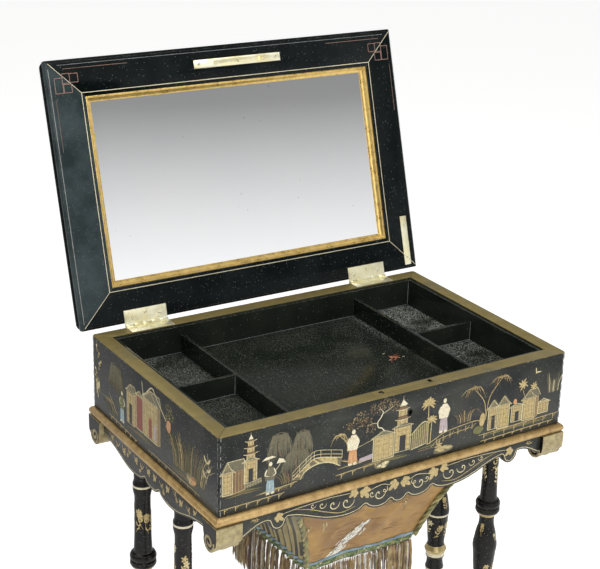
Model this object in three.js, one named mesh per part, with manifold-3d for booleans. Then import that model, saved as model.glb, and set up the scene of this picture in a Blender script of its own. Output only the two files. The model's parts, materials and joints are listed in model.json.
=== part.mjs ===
// A lacquered work table: a shallow box with a mirrored lid and a lift-out tray, carried on
// turned legs at each end, with a silk work bag hanging under the box. Millimetres, +Z up,
// floor at z = 0, front towards -Y. The lid stands open.
import * as THREE from 'three';
import { mergeVertices } from 'three/addons/utils/BufferGeometryUtils.js';
import Module from 'manifold-3d';

const wasm = await Module();
wasm.setup();

// ---- driving dimensions ----
const rimHeight = 700;
const caseWidth = 500;
const caseDepth = 332;
const caseHeight = 100;
const boardThickness = 19;
const cornerRadius = 3.5;
const floorThickness = 6;
const gap = 0.3;

const mouldingHeight = 11;
const mouldingProjection = 5;
const mouldingBed = 14;
const apronThickness = 9;
const scrollSize = 34;
const scrollDrop = 38;

const lidOverhang = 11;
const lidThickness = 21;
const lidBorder = 48.4;
const lidCornerRadius = 7;
const lidOpenAngle = THREE.MathUtils.degToRad(106.6);
const railThickness = 14;
const slipWidth = 8;
const glassRecess = 7.8;
const glassThickness = 3;

const hingeCentre = 172;
const hingeLength = 60;
const leafWidth = 18;
const leafThickness = 1.3;
const barrelRadius = 2.4;
const pinRadius = 1.1;
const knuckleCount = 5;

const trayClearance = 0.7;
const trayWall = 4.5;
const trayTopDrop = 2;
const trayFloorDrop = 39;
const trayFloorThickness = 4;
const dividerOffset = 134.5;
const dividerTopDrop = 13;
const ledgeWidth = 8.7;
const ledgeHeight = 9;
const ledgeReach = 130;

const lockCentre = 10;
const lockLength = 94;
const lockWidth = 10.4;
const lockHeight = 44;
const lockY = -152.7;
const stapleSpacing = 71;
const stapleY = -153.5;
const boltThickness = 2.2;
const boltHeight = 5;
const boltTopDrop = 3.5;
const hookHeight = 1.6;
const hookTopDrop = 5.2;
const channelDepth = 8;
const slotWidth = 6;
const keyholeDrop = 28.7;
const keyholeRadius = 2.4;
const keyholeSlot = 2.4;
const keyholeLength = 7;
const linerWall = 1.2;
const linkLength = 131;
const linkWidth = 11;
const plateThickness = 1.5;
const stayPlateX = [239.5, 250];
const stayPlateFromHinge = [6, 76];

const legX = 236;
const legY = 55;
const legSegments = 14;
const railWidth = 36;
const footRailTop = 60;
const stretcherHeight = 43.5;
const cleatInside = 212;
const cleatReach = 92;
const cleatBottomDrop = 144;

const bagTop = { x: 134, y: 146 };
const bagHem = { x: 84, y: 88 };
const bagHemDrop = 262;
const bagWall = 3;
const bagFrameHeight = 18;
const bagFrameWidth = 10;
const fringeLength = 72;

// ---- materials ----
const finish = (color, roughness, metalness) =>
  new THREE.MeshStandardMaterial({ color, roughness, metalness });
const lacquer = () => finish(0x14181a, 0.25, 0);
const gilt = () => finish(0xb08a46, 0.45, 0.6);
const brass = () => finish(0xd8c98a, 0.35, 0.9);

// ---- solid helpers ----
function toManifold(geometry) {
  const bare = geometry.clone();
  bare.deleteAttribute('normal');
  bare.deleteAttribute('uv');
  const merged = mergeVertices(bare, 1e-4);
  const vertProperties = new Float32Array(merged.attributes.position.array);
  const triVerts = new Uint32Array(merged.index.array);
  return new wasm.Manifold(new wasm.Mesh({ numProp: 3, vertProperties, triVerts }));
}

function toGeometry(solid) {
  const mesh = solid.getMesh();
  const geometry = new THREE.BufferGeometry();
  geometry.setAttribute('position', new THREE.BufferAttribute(new Float32Array(mesh.vertProperties), 3));
  geometry.setIndex(new THREE.BufferAttribute(new Uint32Array(mesh.triVerts), 1));
  return geometry;
}

const union = (...parts) => toGeometry(parts.map(toManifold).reduce((sum, solid) => sum.add(solid)));
const cut = (body, ...tools) =>
  toGeometry(tools.map(toManifold).reduce((rest, tool) => rest.subtract(tool), toManifold(body)));
const common = (body, other) => toGeometry(toManifold(body).intersect(toManifold(other)));

// A box given by its low and high corners.
function block(low, high) {
  const size = high.map((value, axis) => value - low[axis]);
  const geometry = new THREE.BoxGeometry(...size);
  return geometry.translate(...low.map((value, axis) => value + size[axis] / 2));
}

// A flat outline in X and Z, given thickness along Y from y0 towards the back.
function upright(shape, y0, thickness, curveSegments = 8) {
  const options = { depth: thickness, bevelEnabled: false, curveSegments };
  const geometry = new THREE.ExtrudeGeometry(shape, options);
  return geometry.rotateX(Math.PI / 2).translate(0, y0 + thickness, 0);
}

// A rounded rectangle in plan, standing from z0 to z1.
function roundedPrism(width, depth, radius, z0, z1, bevel = 0) {
  const x = width / 2 - bevel;
  const y = depth / 2 - bevel;
  const shape = new THREE.Shape();
  shape.moveTo(-x + radius, -y);
  shape.lineTo(x - radius, -y);
  shape.absarc(x - radius, -y + radius, radius, -Math.PI / 2, 0);
  shape.lineTo(x, y - radius);
  shape.absarc(x - radius, y - radius, radius, 0, Math.PI / 2);
  shape.lineTo(-x + radius, y);
  shape.absarc(-x + radius, y - radius, radius, Math.PI / 2, Math.PI);
  shape.lineTo(-x, -y + radius);
  shape.absarc(-x + radius, -y + radius, radius, Math.PI, Math.PI * 1.5);
  const options = { depth: z1 - z0 - 2 * bevel, curveSegments: 5, bevelEnabled: bevel > 0 };
  Object.assign(options, { bevelSize: bevel, bevelThickness: bevel, bevelSegments: 2 });
  return new THREE.ExtrudeGeometry(shape, options).translate(0, 0, z0 + bevel);
}

// One side of a mitred frame. The profile gives the outward distance from the frame's inner
// edge and the height; the side faces -Y and is then turned to its place.
function mitredSide(profile, innerRun, innerOffset, quarterTurns, mitreGap = gap / 2) {
  const geometry = new THREE.ExtrudeGeometry(profile, { depth: 1, bevelEnabled: false, curveSegments: 8 });
  const position = geometry.attributes.position;
  for (let i = 0; i < position.count; i += 1) {
    const outward = position.getX(i);
    const height = position.getY(i);
    const side = 1 - 2 * Math.round(position.getZ(i));
    position.setXYZ(i, side * (innerRun + outward - mitreGap), -(innerOffset + outward), height);
  }
  return geometry.rotateZ((quarterTurns * Math.PI) / 2);
}

// The four sides of a mitred frame, front first and then right, back and left.
function mitredFrame(profile, innerX, innerY, mitreGap) {
  return [0, 1, 2, 3].map((turn) => {
    const alongX = turn % 2 === 0;
    return mitredSide(profile, alongX ? innerX : innerY, alongX ? innerY : innerX, turn, mitreGap);
  });
}

// A turned piece standing on z = 0, from [radius, height] pairs with its ends on the axis.
function turned(pairs, segments) {
  const points = pairs.map(([radius, height]) => new THREE.Vector2(radius, height));
  points.unshift(new THREE.Vector2(0, pairs[0][1]));
  points.push(new THREE.Vector2(0, pairs[pairs.length - 1][1]));
  return new THREE.LatheGeometry(points, segments).rotateX(Math.PI / 2);
}

// A closed outline symmetrical about the vertical axis, from one half drawn downwards.
function mirroredShape(half, divisions) {
  const right = half.getPoints(divisions);
  const left = right.slice(1).reverse().map((point) => new THREE.Vector2(-point.x, point.y));
  return new THREE.Shape([...left, ...right]);
}

const polygon = (points) => new THREE.Shape(points.map(([x, y]) => new THREE.Vector2(x, y)));

const table = new THREE.Group();
const lid = new THREE.Group();
table.add(lid);

function place(name, geometry, material, parent = table) {
  const mesh = new THREE.Mesh(geometry, material);
  mesh.name = name;
  parent.add(mesh);
  return mesh;
}

const sideNames = ['front', 'right', 'back', 'left'];
const halfWidth = caseWidth / 2;
const halfDepth = caseDepth / 2;
const innerX = halfWidth - boardThickness;
const innerY = halfDepth - boardThickness;
const caseBottom = rimHeight - caseHeight;
const hinge = { y: halfDepth + 2.6, z: rimHeight + 0.5 };

// ---- lock: case, bolt and keyhole liner ----
const stapleXs = [lockCentre - stapleSpacing / 2, lockCentre + stapleSpacing / 2];

function keyholeShape(grow) {
  const shape = new THREE.Shape();
  const radius = keyholeRadius + grow;
  const halfSlot = keyholeSlot / 2 + grow;
  const start = -Math.acos(halfSlot / radius);
  shape.moveTo(halfSlot, -keyholeLength - grow);
  shape.absarc(0, 0, radius, start, Math.PI - start, false);
  shape.lineTo(-halfSlot, -keyholeLength - grow);
  return shape;
}

function keyholeSolid(grow, y0, thickness) {
  return upright(keyholeShape(grow), y0, thickness, 6).translate(lockCentre, 0, rimHeight - keyholeDrop);
}

function buildLock() {
  const low = [lockCentre - lockLength / 2, lockY - lockWidth / 2, rimHeight - lockHeight];
  const high = [lockCentre + lockLength / 2, lockY + lockWidth / 2, rimHeight];
  const hookFront = stapleY - 0.8;
  const barFront = lockY + boltThickness;
  const channel = block(
    [low[0] + 2, hookFront - 2.4, rimHeight - 2 - channelDepth],
    [high[0] - 2, high[1] + 1, rimHeight - 2],
  );
  const slots = stapleXs.map((x) => block(
    [x - slotWidth / 2, hookFront - 2.7, rimHeight - 3],
    [x + slotWidth / 2, barFront + 0.5, rimHeight + 1],
  ));
  const keyway = keyholeSolid(0.4, low[1] - 1, 6);
  place('lock_case', cut(block(low, high), channel, ...slots, keyway), brass());

  const barTop = rimHeight - boltTopDrop;
  const bar = block(
    [stapleXs[0] - 9, barFront, barTop - boltHeight],
    [stapleXs[1] + 2, barFront + boltThickness, barTop],
  );
  const hookTop = rimHeight - hookTopDrop;
  const hooks = stapleXs.flatMap((x) => [
    block([x - 9, hookFront, hookTop - hookHeight], [x - 7, barFront + 0.5, hookTop]),
    block([x - 8, hookFront, hookTop - hookHeight], [x - 3.2, hookFront + hookHeight, hookTop]),
  ]);
  place('lock_bolt', union(bar, ...hooks), brass());

  const sleeve = keyholeSolid(linerWall, -halfDepth - gap, 3);
  place('keyhole_liner', cut(sleeve, keyholeSolid(gap, -halfDepth - 2, 8)), brass());
}

// ---- box: four mitred boards, a bottom frame, a base moulding and tray ledges ----
function hingeRecess(x, z0, z1) {
  return block(
    [x - hingeLength / 2 - gap, hinge.y - 2 - leafWidth - gap, z0],
    [x + hingeLength / 2 + gap, hinge.y, z1],
  );
}

function buildBox() {
  const section = polygon([
    [0, caseBottom],
    [boardThickness, caseBottom],
    [boardThickness, rimHeight],
    [0, rimHeight],
  ]);
  const outer = roundedPrism(caseWidth, caseDepth, cornerRadius, caseBottom - 1, rimHeight + 1);
  const boards = mitredFrame(section, innerX, innerY).map((board) => common(board, outer));
  const lockMortise = block(
    [lockCentre - lockLength / 2 - gap, lockY - lockWidth / 2 - gap, rimHeight - lockHeight - gap],
    [lockCentre + lockLength / 2 + gap, -innerY + 1, rimHeight + 1],
  );
  const keyhole = keyholeSolid(linerWall + gap, -halfDepth - 1, 14);
  boards[0] = cut(boards[0], lockMortise, keyhole);
  const leafDepth = rimHeight - leafThickness - gap;
  boards[2] = cut(boards[2], ...[-1, 1].map((s) => hingeRecess(s * hingeCentre, leafDepth, rimHeight + 1)));
  boards.forEach((board, i) => place(`${sideNames[i]}_board`, board, lacquer()));

  const floor = block(
    [-innerX + gap, -innerY + gap, caseBottom],
    [innerX - gap, innerY - gap, caseBottom + floorThickness],
  );
  const throat = block(
    [-bagTop.x + 12, -bagTop.y + 12, caseBottom - 1],
    [bagTop.x - 12, bagTop.y - 12, rimHeight],
  );
  place('bottom_board', cut(floor, throat), lacquer());

  const mouldingTop = caseBottom - gap;
  const bead = new THREE.Shape();
  bead.moveTo(0, mouldingTop);
  bead.lineTo(0, mouldingTop - mouldingHeight);
  bead.lineTo(mouldingBed, mouldingTop - mouldingHeight);
  bead.bezierCurveTo(
    mouldingBed + mouldingProjection * 1.35, mouldingTop - mouldingHeight,
    mouldingBed + mouldingProjection * 1.35, mouldingTop,
    mouldingBed, mouldingTop,
  );
  mitredFrame(bead, halfWidth - mouldingBed, halfDepth - mouldingBed).forEach((side, i) => {
    place(`base_moulding_${sideNames[i]}`, side, gilt());
  });

  const ledgeTop = rimHeight - trayFloorDrop - trayFloorThickness - gap;
  [-1, 1].forEach((side) => {
    const xs = [side * (innerX - gap), side * (innerX - gap - ledgeWidth)].sort((a, b) => a - b);
    const ledge = block([xs[0], -ledgeReach, ledgeTop - ledgeHeight], [xs[1], ledgeReach, ledgeTop]);
    place(side < 0 ? 'tray_ledge_left' : 'tray_ledge_right', ledge, lacquer());
  });
}

// ---- lift-out tray ----
function buildTray() {
  const outerX = innerX - trayClearance;
  const outerY = innerY - trayClearance;
  const top = rimHeight - trayTopDrop;
  const floorTop = rimHeight - trayFloorDrop;
  const bottom = floorTop - trayFloorThickness;
  const wall = polygon([[0, bottom], [trayWall, bottom], [trayWall, top], [0, top]]);
  mitredFrame(wall, outerX - trayWall, outerY - trayWall).forEach((side, i) => {
    place(`tray_wall_${sideNames[i]}`, side, lacquer());
  });
  const roomX = outerX - trayWall - gap;
  const roomY = outerY - trayWall - gap;
  place('tray_floor', block([-roomX, -roomY, bottom], [roomX, roomY, floorTop]), lacquer());

  const dividerTop = rimHeight - dividerTopDrop;
  const halfThickness = trayWall / 2;
  [-1, 1].forEach((side) => {
    const name = side < 0 ? 'left' : 'right';
    const x = side * dividerOffset;
    const divider = block(
      [x - halfThickness, -roomY, floorTop + gap],
      [x + halfThickness, roomY, dividerTop],
    );
    place(`tray_divider_${name}`, divider, lacquer());
    const ends = [side * (dividerOffset + halfThickness + gap), side * roomX].sort((a, b) => a - b);
    const cross = block(
      [ends[0], -1 - halfThickness, floorTop + gap],
      [ends[1], -1 + halfThickness, dividerTop],
    );
    place(`tray_partition_${name}`, cross, lacquer());
  });
}

// ---- shaped aprons and corner scrolls under the box ----
const apronEnd = (halfSize) => halfSize + mouldingProjection - scrollSize - gap;

function frontApronHalf() {
  const half = new THREE.Path();
  const end = apronEnd(halfWidth);
  half.moveTo(0, -35);
  half.quadraticCurveTo(9, -35, 12.4, -27);
  half.bezierCurveTo(17, -37, 40, -38, 49.5, -25.5);
  half.bezierCurveTo(60, -37, 92, -36, 118, -25.5);
  half.bezierCurveTo(136, -18, 148, -13, 160, -12.5);
  half.bezierCurveTo(160, -30, 182, -30, 183, -11.5);
  half.bezierCurveTo(197, -9, 206, -18, end, -25);
  half.lineTo(end, 0);
  half.lineTo(0, 0);
  return half;
}

function sideApronHalf() {
  const half = new THREE.Path();
  const end = apronEnd(halfDepth);
  half.moveTo(0, -30.5);
  half.quadraticCurveTo(14, -30.5, 19, -23.5);
  half.bezierCurveTo(27, -33, 54, -34, 72, -29.5);
  half.bezierCurveTo(92, -24, 106, -17, end, -15.5);
  half.lineTo(end, 0);
  half.lineTo(0, 0);
  return half;
}

function buildAprons() {
  const top = caseBottom - mouldingHeight - 2 * gap;
  const halves = [frontApronHalf(), sideApronHalf()];
  sideNames.forEach((name, turn) => {
    const reach = turn % 2 === 0 ? halfDepth : halfWidth;
    const outline = mirroredShape(halves[turn % 2], 7);
    const apron = upright(outline, -reach, apronThickness).translate(0, 0, top);
    place(`apron_${name}`, apron.rotateZ((turn * Math.PI) / 2), lacquer());
  });

  // A console scroll in side view: its face bulges forward and rolls under.
  const scroll = new THREE.Shape();
  scroll.moveTo(0, 0);
  scroll.lineTo(0, -17);
  scroll.quadraticCurveTo(1, -24, 5.5, -27);
  scroll.absarc(19, -24, 14, Math.PI + 0.2, Math.PI * 2 + 0.35, false);
  scroll.quadraticCurveTo(35.5, -12, scrollSize, 0);
  const options = { depth: scrollSize, bevelEnabled: false, curveSegments: 7 };
  const profile = new THREE.ExtrudeGeometry(scroll, options);
  profile.rotateX(Math.PI / 2).rotateZ(-Math.PI / 2).translate(scrollSize / 2, 0, top);
  const outwards = mouldingProjection;
  [['front_left', -1, 0], ['front_right', 1, 0], ['back_right', 1, 2], ['back_left', -1, 2]].forEach(
    ([name, side, turn]) => {
      const facing = turn === 0 ? 1 : -1;
      const piece = profile.clone().rotateZ((turn * Math.PI) / 2);
      const x = side * (halfWidth + outwards - scrollSize / 2);
      const y = -facing * (halfDepth + outwards - scrollSize);
      place(`corner_scroll_${name}`, piece.translate(x, y, 0), gilt());
    },
  );
}

// ---- legs, cleats, foot rails and stretcher ----
// Leg profile as [radius, drop below the rim], read from the foot up.
const legProfile = [
  [12, 639.7], [12.5, 634], [16, 632], [16.5, 627], [13, 623], [11.8, 606], [11.4, 585], [15.2, 580],
  [16.6, 573], [15.2, 566], [11.2, 561], [12.6, 530], [15, 500], [15.4, 476], [13.4, 448], [12.4, 431],
  [13.7, 424], [11.9, 417], [11.9, 409], [14, 406], [13.8, 401], [16.2, 394], [12.3, 386], [13.3, 371],
  [15.7, 349], [16.9, 336], [14.6, 318], [10.5, 298], [11, 285], [17, 279], [15.8, 271], [17.1, 265],
  [12, 259], [10.8, 228], [10.3, 180], [12.2, 171], [12.2, 161], [10.8, 158], [10.8, 144.4],
];

function buildStand() {
  const pairs = legProfile.map(([radius, drop]) => [radius, rimHeight - drop]);
  const leg = turned(pairs, legSegments);
  const cleatTop = caseBottom - mouldingHeight - 2 * gap;
  const foot = new THREE.Path();
  foot.moveTo(0, footRailTop);
  foot.lineTo(78, footRailTop);
  foot.bezierCurveTo(98, footRailTop, 104, 38, 128, 34);
  foot.bezierCurveTo(146, 31, 168, 32, 168, 14);
  foot.bezierCurveTo(168, 5, 164, 0, 158, 0);
  foot.lineTo(132, 0);
  foot.bezierCurveTo(122, 14, 104, 24, 70, 27);
  foot.lineTo(0, 27);
  const footOutline = mirroredShape(foot, 7);
  [['left', -1], ['right', 1]].forEach(([name, side]) => {
    [['front', -1], ['back', 1]].forEach(([end, along]) => {
      place(`leg_${end}_${name}`, leg.clone().translate(side * legX, along * legY, 0), lacquer());
    });
    const xs = [side * (halfWidth - apronThickness - gap), side * cleatInside].sort((a, b) => a - b);
    const cleatBottom = rimHeight - cleatBottomDrop;
    const cleat = block([xs[0], -cleatReach, cleatBottom], [xs[1], cleatReach, cleatTop]);
    place(`leg_cleat_${name}`, cleat, lacquer());
    const rail = upright(footOutline, -railWidth / 2, railWidth).rotateZ(Math.PI / 2);
    place(`foot_rail_${name}`, rail.translate(side * legX, 0, 0), lacquer());
  });

  const reach = legX - railWidth / 2 - gap;
  const half = [
    [8, 0], [8, 8], [12.5, 10], [12.5, 16], [9, 19], [9.5, 50], [13, 90], [13.6, 120], [10, 150], [9, 160],
    [14, 165], [14, 171], [9.5, 176], [11, 190], [15, 205],
  ];
  const whole = [...half, ...half.map(([radius, along]) => [radius, 2 * reach - along]).reverse()];
  const stretcher = turned(whole, legSegments).rotateY(Math.PI / 2);
  place('stretcher', stretcher.translate(-reach, 0, stretcherHeight), lacquer());
}

// ---- work bag: a wooden frame, a tapered silk bag and a fringe round its hem ----
function loft(low, high, z0, z1) {
  const geometry = new THREE.BoxGeometry(2, 2, 2);
  const position = geometry.attributes.position;
  for (let i = 0; i < position.count; i += 1) {
    const up = position.getZ(i) > 0;
    const end = up ? high : low;
    position.setXYZ(i, position.getX(i) * end.x, position.getY(i) * end.y, up ? z1 : z0);
  }
  return geometry;
}

const grown = (size, by) => ({ x: size.x + by, y: size.y + by });

function buildBag() {
  const frameTop = caseBottom - gap;
  const frameBottom = frameTop - bagFrameHeight;
  const outer = loft(grown(bagTop, 2), grown(bagTop, 2), frameBottom, frameTop);
  const hole = grown(bagTop, -bagFrameWidth);
  const inner = loft(hole, hole, frameBottom - 1, frameTop + 1);
  place('bag_frame', cut(outer, inner), finish(0x5a3a22, 0.6, 0));

  const top = frameBottom - gap;
  const hem = rimHeight - bagHemDrop;
  const skin = loft(bagHem, bagTop, hem, top);
  const room = loft(grown(bagHem, -bagWall), grown(bagTop, -bagWall), hem + bagWall, top + 0.01);
  place('work_bag', cut(skin, room), finish(0xb4875a, 0.7, 0));

  const fringeTop = hem - gap;
  const fringeOuter = loft(grown(bagHem, 1), grown(bagHem, 3), fringeTop - fringeLength, fringeTop);
  const fringeBottom = fringeTop - fringeLength;
  const fringeInner = loft(grown(bagHem, -3), grown(bagHem, -1), fringeBottom - 1, fringeTop + 1);
  place('bag_fringe', cut(fringeOuter, fringeInner), finish(0x8a6a3a, 0.8, 0));
}

// ---- lid, drawn closed and then turned open about the hinge pins ----
const lidBack = hinge.y - 3;
const lidFront = -halfDepth - lidOverhang + 0.5;
const lidMiddle = (lidBack + lidFront) / 2;
const lidHalfX = halfWidth + lidOverhang;
const lidHalfY = (lidBack - lidFront) / 2;
const lidUnder = rimHeight + 1;

function buildLid() {
  const openX = lidHalfX - lidBorder;
  const openY = lidHalfY - lidBorder;
  const railTop = lidUnder + railThickness;
  const rail = new THREE.Shape();
  rail.moveTo(0, lidUnder);
  rail.lineTo(lidBorder - 5, lidUnder);
  rail.quadraticCurveTo(lidBorder - 3.5, lidUnder, lidBorder - 3.5, lidUnder + 2);
  rail.lineTo(lidBorder - 2.5, lidUnder + 2);
  rail.bezierCurveTo(lidBorder + 0.8, lidUnder + 3, lidBorder + 0.8, lidUnder + 11, lidBorder - 2.5, railTop);
  rail.lineTo(0, railTop);
  const bound = roundedPrism(2 * lidHalfX + 2, 2 * lidHalfY + 2, lidCornerRadius, lidUnder - 1, railTop + 1);
  const rails = mitredFrame(rail, openX, openY).map((side) => {
    return common(side, bound).translate(0, lidMiddle, 0);
  });
  const plate = {
    low: [lockCentre - linkLength / 2, stapleY - linkWidth / 2],
    high: [lockCentre + linkLength / 2, stapleY + linkWidth / 2],
  };
  const plateTop = lidUnder + plateThickness;
  const plateRecess = block(
    [plate.low[0] - gap, plate.low[1] - gap, lidUnder - 1],
    [plate.high[0] + gap, plate.high[1] + gap, plateTop + gap],
  );
  rails[0] = cut(rails[0], plateRecess);
  const stay = {
    low: [stayPlateX[0], lidBack - stayPlateFromHinge[1]],
    high: [stayPlateX[1], lidBack - stayPlateFromHinge[0]],
  };
  const stayRecess = block(
    [stay.low[0] - gap, stay.low[1] - gap, lidUnder - 1],
    [stay.high[0] + gap, stay.high[1] + gap, plateTop + gap],
  );
  const leafTop = lidUnder + leafThickness + gap;
  const recesses = [-1, 1].map((s) => hingeRecess(s * hingeCentre, lidUnder - 1, leafTop));
  rails[1] = cut(rails[1], stayRecess);
  rails[2] = cut(rails[2], ...recesses, stayRecess);
  rails.forEach((side, i) => place(`lid_rail_${sideNames[i]}`, side, lacquer(), lid));

  const topBoard = roundedPrism(
    2 * lidHalfX, 2 * lidHalfY, lidCornerRadius, railTop + gap, lidUnder + lidThickness, 2,
  );
  place('lid_top_board', topBoard.translate(0, lidMiddle, 0), lacquer(), lid);

  const slip = new THREE.Shape();
  const glassFace = lidUnder + glassRecess;
  slip.moveTo(-slipWidth, glassFace - 1.6);
  slip.quadraticCurveTo(-slipWidth + 3, glassFace - 2, -3, lidUnder + 1.6);
  slip.lineTo(-gap, lidUnder + 1);
  slip.lineTo(-gap, glassFace - gap);
  slip.lineTo(-slipWidth, glassFace - gap);
  const slipFrame = union(...mitredFrame(slip, openX, openY, 0)).translate(0, lidMiddle, 0);
  place('mirror_slip', slipFrame, gilt(), lid);

  const glassBack = glassFace + glassThickness;
  const paneX = openX - gap;
  const paneY = openY - gap;
  const glass = block([-paneX, lidMiddle - paneY, glassFace], [paneX, lidMiddle + paneY, glassBack]);
  place('mirror_glass', glass, finish(0xe6ebee, 0.03, 1), lid);
  const backing = block(
    [-paneX, lidMiddle - paneY, glassBack + gap],
    [paneX, lidMiddle + paneY, railTop],
  );
  place('mirror_backing', backing, finish(0x6b4a2e, 0.8, 0), lid);

  const linkPlate = block([...plate.low, lidUnder], [...plate.high, plateTop]);
  const staples = stapleXs.map((x) => {
    const shank = block([x - 1.3, stapleY - 2.3, rimHeight - 9], [x + 1.3, stapleY + 2.3, lidUnder + 0.5]);
    const eye = block([x - 3, stapleY - 1.4, rimHeight - 7.6], [x + 3, stapleY + 1.4, rimHeight - 4.4]);
    return cut(shank, eye);
  });
  place('link_plate', union(linkPlate, ...staples), brass(), lid);
  place('stay_plate', block([...stay.low, lidUnder], [...stay.high, plateTop]), brass(), lid);
}

// ---- butt hinges ----
function knuckle(x0, x1) {
  const tube = new THREE.CylinderGeometry(barrelRadius, barrelRadius, x1 - x0, 16);
  const bore = new THREE.CylinderGeometry(pinRadius + 0.2, pinRadius + 0.2, x1 - x0 + 2, 12);
  return cut(tube, bore).rotateZ(Math.PI / 2).translate((x0 + x1) / 2, 0, 0);
}

function hingeLeaf(first, zLow) {
  const pitch = hingeLength / knuckleCount;
  const half = hingeLength / 2;
  const parts = [block([-half, -2 - leafWidth, zLow], [half, -barrelRadius - 0.25, zLow + leafThickness])];
  for (let i = first; i < knuckleCount; i += 2) {
    const x0 = -half + i * pitch + gap / 2;
    const x1 = x0 + pitch - gap;
    parts.push(block([x0, -barrelRadius - 0.5, zLow], [x1, -1.6, zLow + leafThickness]));
    parts.push(knuckle(x0, x1));
  }
  return union(...parts);
}

function buildHinges() {
  [['left', -1], ['right', 1]].forEach(([name, side]) => {
    const x = side * hingeCentre;
    const caseLeaf = hingeLeaf(0, -0.5 - leafThickness).translate(x, hinge.y, hinge.z);
    const lidLeaf = hingeLeaf(1, 0.5).translate(x, hinge.y, hinge.z);
    const pin = new THREE.CylinderGeometry(pinRadius, pinRadius, hingeLength, 12).rotateZ(Math.PI / 2);
    place(`hinge_leaf_case_${name}`, caseLeaf, brass());
    place(`hinge_leaf_lid_${name}`, lidLeaf, brass(), lid);
    place(`hinge_pin_${name}`, pin.translate(x, hinge.y, hinge.z), brass());
  });
}

buildBox();
buildTray();
buildAprons();
buildStand();
buildBag();
buildLock();
buildLid();
buildHinges();

// Turn the lid open about the hinge line.
const turn = new THREE.Matrix4().makeTranslation(0, hinge.y, hinge.z);
turn.multiply(new THREE.Matrix4().makeRotationX(-lidOpenAngle));
turn.multiply(new THREE.Matrix4().makeTranslation(0, -hinge.y, -hinge.z));
turn.decompose(lid.position, lid.quaternion, lid.scale);

// The origin is the middle of the open table's footprint, on the floor.
table.updateMatrixWorld(true);
const extent = new THREE.Box3().setFromObject(table, true);
table.position.y = -(extent.min.y + extent.max.y) / 2;

export default table;
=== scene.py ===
import json
import math
import random

import bmesh
import bpy
from mathutils import Matrix, Vector, noise


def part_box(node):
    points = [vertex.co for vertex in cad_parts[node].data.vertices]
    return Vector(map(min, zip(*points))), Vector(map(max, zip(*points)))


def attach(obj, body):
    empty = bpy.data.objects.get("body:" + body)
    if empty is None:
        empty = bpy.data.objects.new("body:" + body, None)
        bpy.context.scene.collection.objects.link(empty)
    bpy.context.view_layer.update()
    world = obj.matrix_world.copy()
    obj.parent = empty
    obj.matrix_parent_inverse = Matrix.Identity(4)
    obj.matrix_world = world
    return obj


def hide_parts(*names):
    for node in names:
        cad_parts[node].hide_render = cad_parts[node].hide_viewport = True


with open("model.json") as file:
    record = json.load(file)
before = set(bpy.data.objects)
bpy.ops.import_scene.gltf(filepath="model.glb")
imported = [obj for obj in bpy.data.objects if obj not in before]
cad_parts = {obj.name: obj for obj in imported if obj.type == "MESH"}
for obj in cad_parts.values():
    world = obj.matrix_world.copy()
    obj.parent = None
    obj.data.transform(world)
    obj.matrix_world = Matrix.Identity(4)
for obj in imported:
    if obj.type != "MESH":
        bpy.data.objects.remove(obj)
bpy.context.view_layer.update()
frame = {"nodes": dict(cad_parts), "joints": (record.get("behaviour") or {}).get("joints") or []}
scene = bpy.context.scene
mm = 0.001

# ---------- camera, floor and light ----------
cameraSpec = {
    "place": (-0.9693, -1.5263, 1.4500),
    "turn": (69.338, -2.178, -33.346),
    "lens": 90.5,
    "shift": (-0.0828, -0.0082),
}
lightSpec = {
    "floorSize": 40.0,
    # brightness of the wall on the viewer's left, next to the rest
    "leftWall": 0.3,
    "floorGlow": 0.7,
    # from this place, to this place, and the glow at each
    "floorThrow": (-0.3, 0.7, 0.7, 0.06),
    # sine of the height above the horizon, and how bright the studio wall is there
    "wall": ((0.15, 1.0), (0.185, 0.82), (0.22, 0.6), (0.26, 0.3), (0.32, 0.24), (0.6, 0.36), (1.0, 0.5)),
    # place, target, size in metres and power in watts
    "overhead": ((-0.4, 0.3, 3.2), (0, 0, 0.3), 2.4, 34.0),
    "key": ((-0.9, -2.8, 2.7), (0, 0, 0.5), 1.8, 60.0),
}


def makeCamera():
    data = bpy.data.cameras.new("camera")
    data.lens = cameraSpec["lens"]
    data.sensor_width = 36
    data.shift_x, data.shift_y = cameraSpec["shift"]
    data.clip_start = 0.02
    obj = bpy.data.objects.new("camera", data)
    obj.location = cameraSpec["place"]
    obj.rotation_euler = [math.radians(angle) for angle in cameraSpec["turn"]]
    scene.collection.objects.link(obj)
    scene.camera = obj


def makeWorld():
    world = bpy.data.worlds.new("studio")
    scene.world = world
    world.use_nodes = True
    tree = world.node_tree
    place = tree.nodes.new("ShaderNodeTexCoord")
    split = tree.nodes.new("ShaderNodeSeparateXYZ")
    ramp = tree.nodes.new("ShaderNodeValToRGB")
    tree.links.new(place.outputs["Generated"], split.inputs[0])
    across = rangeNode(tree, split.outputs["X"], 0.4, 0.62, -0.017, 0.035)
    tree.links.new(mathNode(tree, "ADD", split.outputs["Z"], across), ramp.inputs[0])
    tree.links.new(ramp.outputs[0], tree.nodes["Background"].inputs[0])
    leftWall = rangeNode(tree, split.outputs["X"], -0.75, -0.1, lightSpec["leftWall"], 1.0)
    tree.links.new(leftWall, tree.nodes["Background"].inputs["Strength"])
    stops = ramp.color_ramp.elements
    stops.remove(stops[1])
    stops[0].position = 0.0
    stops[0].color = (1, 1, 1, 1)
    for height, level in lightSpec["wall"]:
        stops.new(height).color = (level, level, level * 1.01, 1)


def areaLight(name, place, target, size, power):
    data = bpy.data.lights.new(name, "AREA")
    data.size = size
    data.energy = power
    obj = bpy.data.objects.new(name, data)
    obj.location = place
    aim = Vector(target) - Vector(place)
    obj.rotation_euler = aim.to_track_quat("-Z", "Y").to_euler()
    scene.collection.objects.link(obj)


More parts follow.
